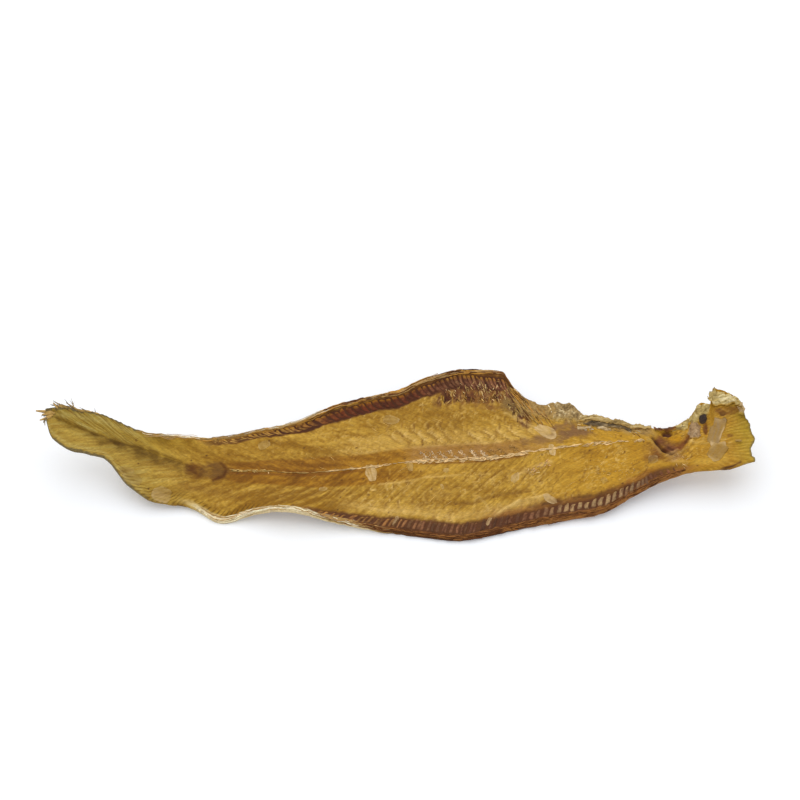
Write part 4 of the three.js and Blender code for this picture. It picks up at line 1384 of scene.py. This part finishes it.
def make_rims(material, dice):
    """Layered strands of dried fin along both edges."""
    heap = Heap()
    for back, low, high, count, lengths, inward, radius, tones in RIM_RUNS:
        for _ in range(count):
            length = dice.uniform(*lengths)
            x0 = dice.uniform(low - 3, high - length * 0.7)
            x = np.arange(x0, min(x0 + length, high), RIM_STEP)
            if len(x) < RIM_LEAST:
                continue
            edge_y = edge_line(x, back)[0]
            inset = dice.uniform(-0.25, inward) + 0.3 * wander(x, 4, dice.uniform(*SHIFTS), 88)
            y = edge_y - inset if back else edge_y + inset
            path = over_face(x, y, 0.1 + 0.12 * wander(x, 2, dice.uniform(*SHIFTS), 89))
            path[:, 2] += dice.uniform(-0.7, 0.2) * (inset < 0.25)
            radii = radius * dice.uniform(0.6, 1.3) * spindle(len(x), 0.05, 0.4)
            tone = np.array(tones[dice.integers(len(tones))], float) * dice.uniform(0.85, 1.1)
            heap.add(tube(path, radii, RIM_SIDES), tone)
    return heap.piece("rim_strands", material)


def make_tail_strands(material, dice):
    """The frayed tip of the tail: thick golden strands that split, and thin grey hairs."""
    heap = Heap()
    for start, way, length, radius in TAIL_STRANDS:
        way = np.array(way) / np.linalg.norm(way)
        strand(heap, dice, start, way, length, radius, STRAND_GOLD, 0.06)
        for _ in range(TAIL_HAIRS):
            root = np.asarray(start) + way * length * dice.uniform(0.2, 0.8)
            fork = way + dice.normal(0, 0.5, 3)
            fork /= np.linalg.norm(fork)
            strand(heap, dice, root, fork, dice.uniform(1, 2.4), radius * 0.4, STRAND_GREY, 0.1)
    return heap.piece("tail_strands", material)


def along_points(points, count):
    """Plan places spread evenly along a line through points."""
    table = np.array(points, float)
    run = np.concatenate([[0], np.cumsum(np.hypot(*np.diff(table, axis=0).T))])
    steps = np.linspace(0, run[-1], count)
    return np.stack([np.interp(steps, run, table[:, 0]), np.interp(steps, run, table[:, 1])], -1)


def add_scrap(heap, near, far, curl, rise, crumple, skin, seed, melting):
    """A crumpled scrap of skin between two borders; the near one curls up or melts into the flesh."""
    long, wide = SCRAP_GRID
    v, u = np.meshgrid(np.linspace(0, 1, wide), np.linspace(0, 1, long))
    near_plan, far_plan = (along_points(border, long)[:, None] for border in (near, far))
    plan = near_plan * (1 - v)[..., None] + far_plan * v[..., None]
    inside = np.minimum(1, 5 * np.minimum(np.minimum(u, 1 - u), np.minimum(v, 1 - v)))
    torn = 0.75 * (1 - inside)
    tears = [layered_noise(plan[..., 0] / 1.1, plan[..., 1] / 1.1, seed + i) for i in (0, 1)]
    x, y = (plan[..., i] + torn * tears[i] for i in (0, 1))
    lumps = layered_noise(x / crumple[0], y / crumple[1], seed + 2)
    creases = thin_lines(layered_noise(x / crumple[0], y / crumple[1] / 0.8, seed + 3), 0.1)
    fine = layered_noise(x / crumple[0] * 2.5, y / crumple[1] * 2.5, seed + 4)
    sunk = 0.5 * smooth(0.3, 0, v) * (melting > 0.2)
    crumpled = 0.5 + 0.6 * lumps - 0.3 * creases + 0.15 * fine
    lift = 0.1 - sunk + curl * (1 - v) ** 2 + rise * inside * crumpled
    melt = smooth(melting, 0, v + 0.3 * melting * layered_noise(x / 1.5, y / 1.5, seed + 5))
    hollow, flat, crest = skin
    # Paler on the lumps and darker in the hollows and creases: partly painted highlight and shade
    colour = coated(plain(flat, x), [
        (crest, smooth(0, 0.8, lumps + 0.5 * fine)),
        (hollow, 0.7 * creases + 0.7 * smooth(0, -0.8, lumps + 0.5 * fine)),
        (face_colour(x, y), 0.9 * melt),
    ])
    heap.add_slab(over_face(x, y, lift), SCRAP_THICKNESS, colour)


def make_scraps(name, scraps, material):
    """Scraps of skin of one kind as one piece."""
    heap = Heap()
    for scrap in scraps:
        add_scrap(heap, *scrap)
    return heap.piece(name, material)


def make_eye(material):
    """The dark uneven bead by the head end's back edge."""
    heap = Heap()
    u, v, rim = disc_grid(EYE_GRID)
    uneven = 1 + 0.3 * noise(2 * u + 5, 2 * v, 93)
    lift = EYE_LIFT + EYE_RISE * np.sqrt(1 - rim ** 2) - 0.5 * rim ** 4
    top = over_face(EYE_AT[0] + EYE_RADII[0] * uneven * u, EYE_AT[1] + EYE_RADII[1] * uneven * v, lift)
    grey = 0.8 * smooth(0.5, 1, rim) + 0.5 * noise(3 * u, 3 * v, 94)
    heap.add_slab(top, EYE_THICKNESS, blend(plain(EYE_DARK, u), EYE_GREY, grey))
    return heap.piece("eye", material)


def add_node(tree, kind, **settings):
    """A new node of a kind in a shader's tree, with its settings."""
    node = tree.nodes.new(kind)
    for name, value in settings.items():
        setattr(node, name, value)
    return node


def noise_node(tree, vector, scale, detail):
    """A noise texture over a vector stretched by scale."""
    stretch = add_node(tree, "ShaderNodeMapping")
    stretch.inputs["Scale"].default_value = scale
    texture = add_node(tree, "ShaderNodeTexNoise")
    texture.inputs["Scale"].default_value = 1.0
    texture.inputs["Detail"].default_value = detail
    texture.inputs["Roughness"].default_value = NOISE_ROUGHNESS
    tree.links.new(vector, stretch.inputs["Vector"])
    tree.links.new(stretch.outputs["Vector"], texture.inputs["Vector"])
    return texture.outputs["Fac"]


def spread_node(tree, value, low, high):
    """A noise value spread from its usual range to one from low to high."""
    levels = add_node(tree, "ShaderNodeMapRange")
    levels.inputs["From Min"].default_value = NOISE_RANGE[0]
    levels.inputs["From Max"].default_value = NOISE_RANGE[1]
    levels.inputs["To Min"].default_value = low
    levels.inputs["To Max"].default_value = high
    tree.links.new(value, levels.inputs["Value"])
    return levels.outputs["Result"]


def shaded_node(tree, colour, value, depth):
    """A colour made lighter and darker by up to depth where a noise value is high and low."""
    shade = add_node(tree, "ShaderNodeVectorMath", operation="SCALE")
    tree.links.new(colour, shade.inputs[0])
    tree.links.new(spread_node(tree, value, 1 - depth, 1 + depth), shade.inputs["Scale"])
    return shade.outputs["Vector"]


def tinted_material(name, gloss, mottle, bump_depth, grain_depth=0.0):
    """Dried fish: the painted tint, mottled by specks and grain, with uneven gloss and a fine bump."""
    material = bpy.data.materials.new(name)
    material.use_nodes = True
    tree = material.node_tree
    shader = tree.nodes["Principled BSDF"]
    shader.inputs["Specular IOR Level"].default_value = SPECULAR_LEVEL
    tint = add_node(tree, "ShaderNodeAttribute", attribute_name="tint")
    place = add_node(tree, "ShaderNodeTexCoord")
    specks = noise_node(tree, place.outputs["Object"], SPECK_SCALE, 4.0)
    colour = shaded_node(tree, tint.outputs["Color"], specks, mottle)
    height = specks
    if grain_depth:
        lay = add_node(tree, "ShaderNodeAttribute", attribute_name="grain")
        streaks = noise_node(tree, lay.outputs["Vector"], GRAIN_SCALE, 3.0)
        colour = shaded_node(tree, colour, streaks, grain_depth)
        both = add_node(tree, "ShaderNodeMath", operation="ADD")
        tree.links.new(specks, both.inputs[0])
        tree.links.new(streaks, both.inputs[1])
        height = both.outputs["Value"]
    tree.links.new(colour, shader.inputs["Base Color"])
    tree.links.new(spread_node(tree, specks, *gloss), shader.inputs["Roughness"])
    bumps = add_node(tree, "ShaderNodeBump")
    bumps.inputs["Strength"].default_value = BUMP_STRENGTH
    bumps.inputs["Distance"].default_value = bump_depth * MM
    tree.links.new(height, bumps.inputs["Height"])
    tree.links.new(bumps.outputs["Normal"], shader.inputs["Normal"])
    return material


def make_camera():
    """The camera of the photograph's view."""
    data = bpy.data.cameras.new("camera")
    data.lens = LENS
    data.sensor_width = SENSOR_WIDTH
    camera = linked("camera", data)
    camera.location = [c * MM for c in CAMERA_AT]
    camera.rotation_euler = (np.radians(90 - CAMERA_ELEVATION), 0, 0)
    bpy.context.scene.camera = camera


def make_light(name, place, size, energy):
    """A soft square lamp at a place, turned to the fillet."""
    data = bpy.data.lights.new(name, "AREA")
    data.size = size * MM
    data.energy = energy
    lamp = linked(name, data)
    lamp.location = [c * MM for c in place]
    lamp.rotation_euler = lamp.location.to_track_quat("Z", "Y").to_euler()


def make_stage():
    """Pale floor and soft white studio light."""
    material = bpy.data.materials.new("floor")
    material.use_nodes = True
    shader = material.node_tree.nodes["Principled BSDF"]
    shader.inputs["Base Color"].default_value = FLOOR_COLOUR
    shader.inputs["Roughness"].default_value = FLOOR_ROUGHNESS
    shader.inputs["Emission Color"].default_value = GLOW_COLOUR
    shader.inputs["Emission Strength"].default_value = FLOOR_GLOW
    mesh = bpy.data.meshes.new("floor")
    h = FLOOR_HALF * MM
    z = -FLOOR_DROP * MM
    mesh.from_pydata([(-h, -h, z), (h, -h, z), (h, h, z), (-h, h, z)], [], [(0, 1, 2, 3)])
    mesh.materials.append(material)
    floor = linked("floor", mesh)
    floor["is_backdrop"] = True
    world = bpy.data.worlds.new("studio")
    world.use_nodes = True
    sky = world.node_tree.nodes["Background"]
    sky.inputs["Color"].default_value = (1, 1, 1, 1)
    sky.inputs["Strength"].default_value = SKY_STRENGTH
    bpy.context.scene.world = world
    make_light("key", KEY_AT, KEY_SIZE, KEY_ENERGY)
    bpy.context.scene.view_settings.view_transform = "Standard"


make_camera()
make_stage()
flesh = tinted_material("dried_flesh", *FLESH_FINISH)
bits = tinted_material("dried_bits", *BITS_FINISH)
film = tinted_material("scale_film", *FILM_FINISH)
film.node_tree.nodes["Principled BSDF"].inputs["Alpha"].default_value = FILM_ALPHA
# The shown face on the sheet's grid, which the loose pieces are laid on
GRID_STATIONS = crowded(STATIONS + 1, TAIL_X, HEAD_X, STATION_CROWD)
GRID_ROWS = crowded(ROWS + 1, -1, 1, ROW_CROWD)
shown_face = fields(*np.meshgrid(GRID_STATIONS, GRID_ROWS, indexing="ij"))
TOP_POINTS = shown_points(shown_face)
TOP_COLOURS = shown_colour(shown_face)
sheet = make_sheet(flesh, shown_face)
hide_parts("fillet")
chance = np.random.default_rng(SEED)
make_teeth("back_teeth", BACK_COMB, bits, chance)
make_teeth("front_teeth", FRONT_COMB, bits, chance)
make_line(bits, chance)
make_flakes(bits, chance)
make_scales(film)
make_fibres(bits, chance)
make_rims(bits, chance)
make_tail_strands(bits, chance)
make_scraps("torn_membrane", MEMBRANE_SCRAPS, bits)
make_scraps("neck_folds", NECK_SCRAPS, bits)
make_scraps("head_scraps", HEAD_SCRAPS, bits)
make_eye(bits)
make_crumbs(bits, chance)

boxes = {"cad": CAD_BOX, "visual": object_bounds()}
{name: [[float(v) for v in corner] for corner in box] for name, box in boxes.items()}
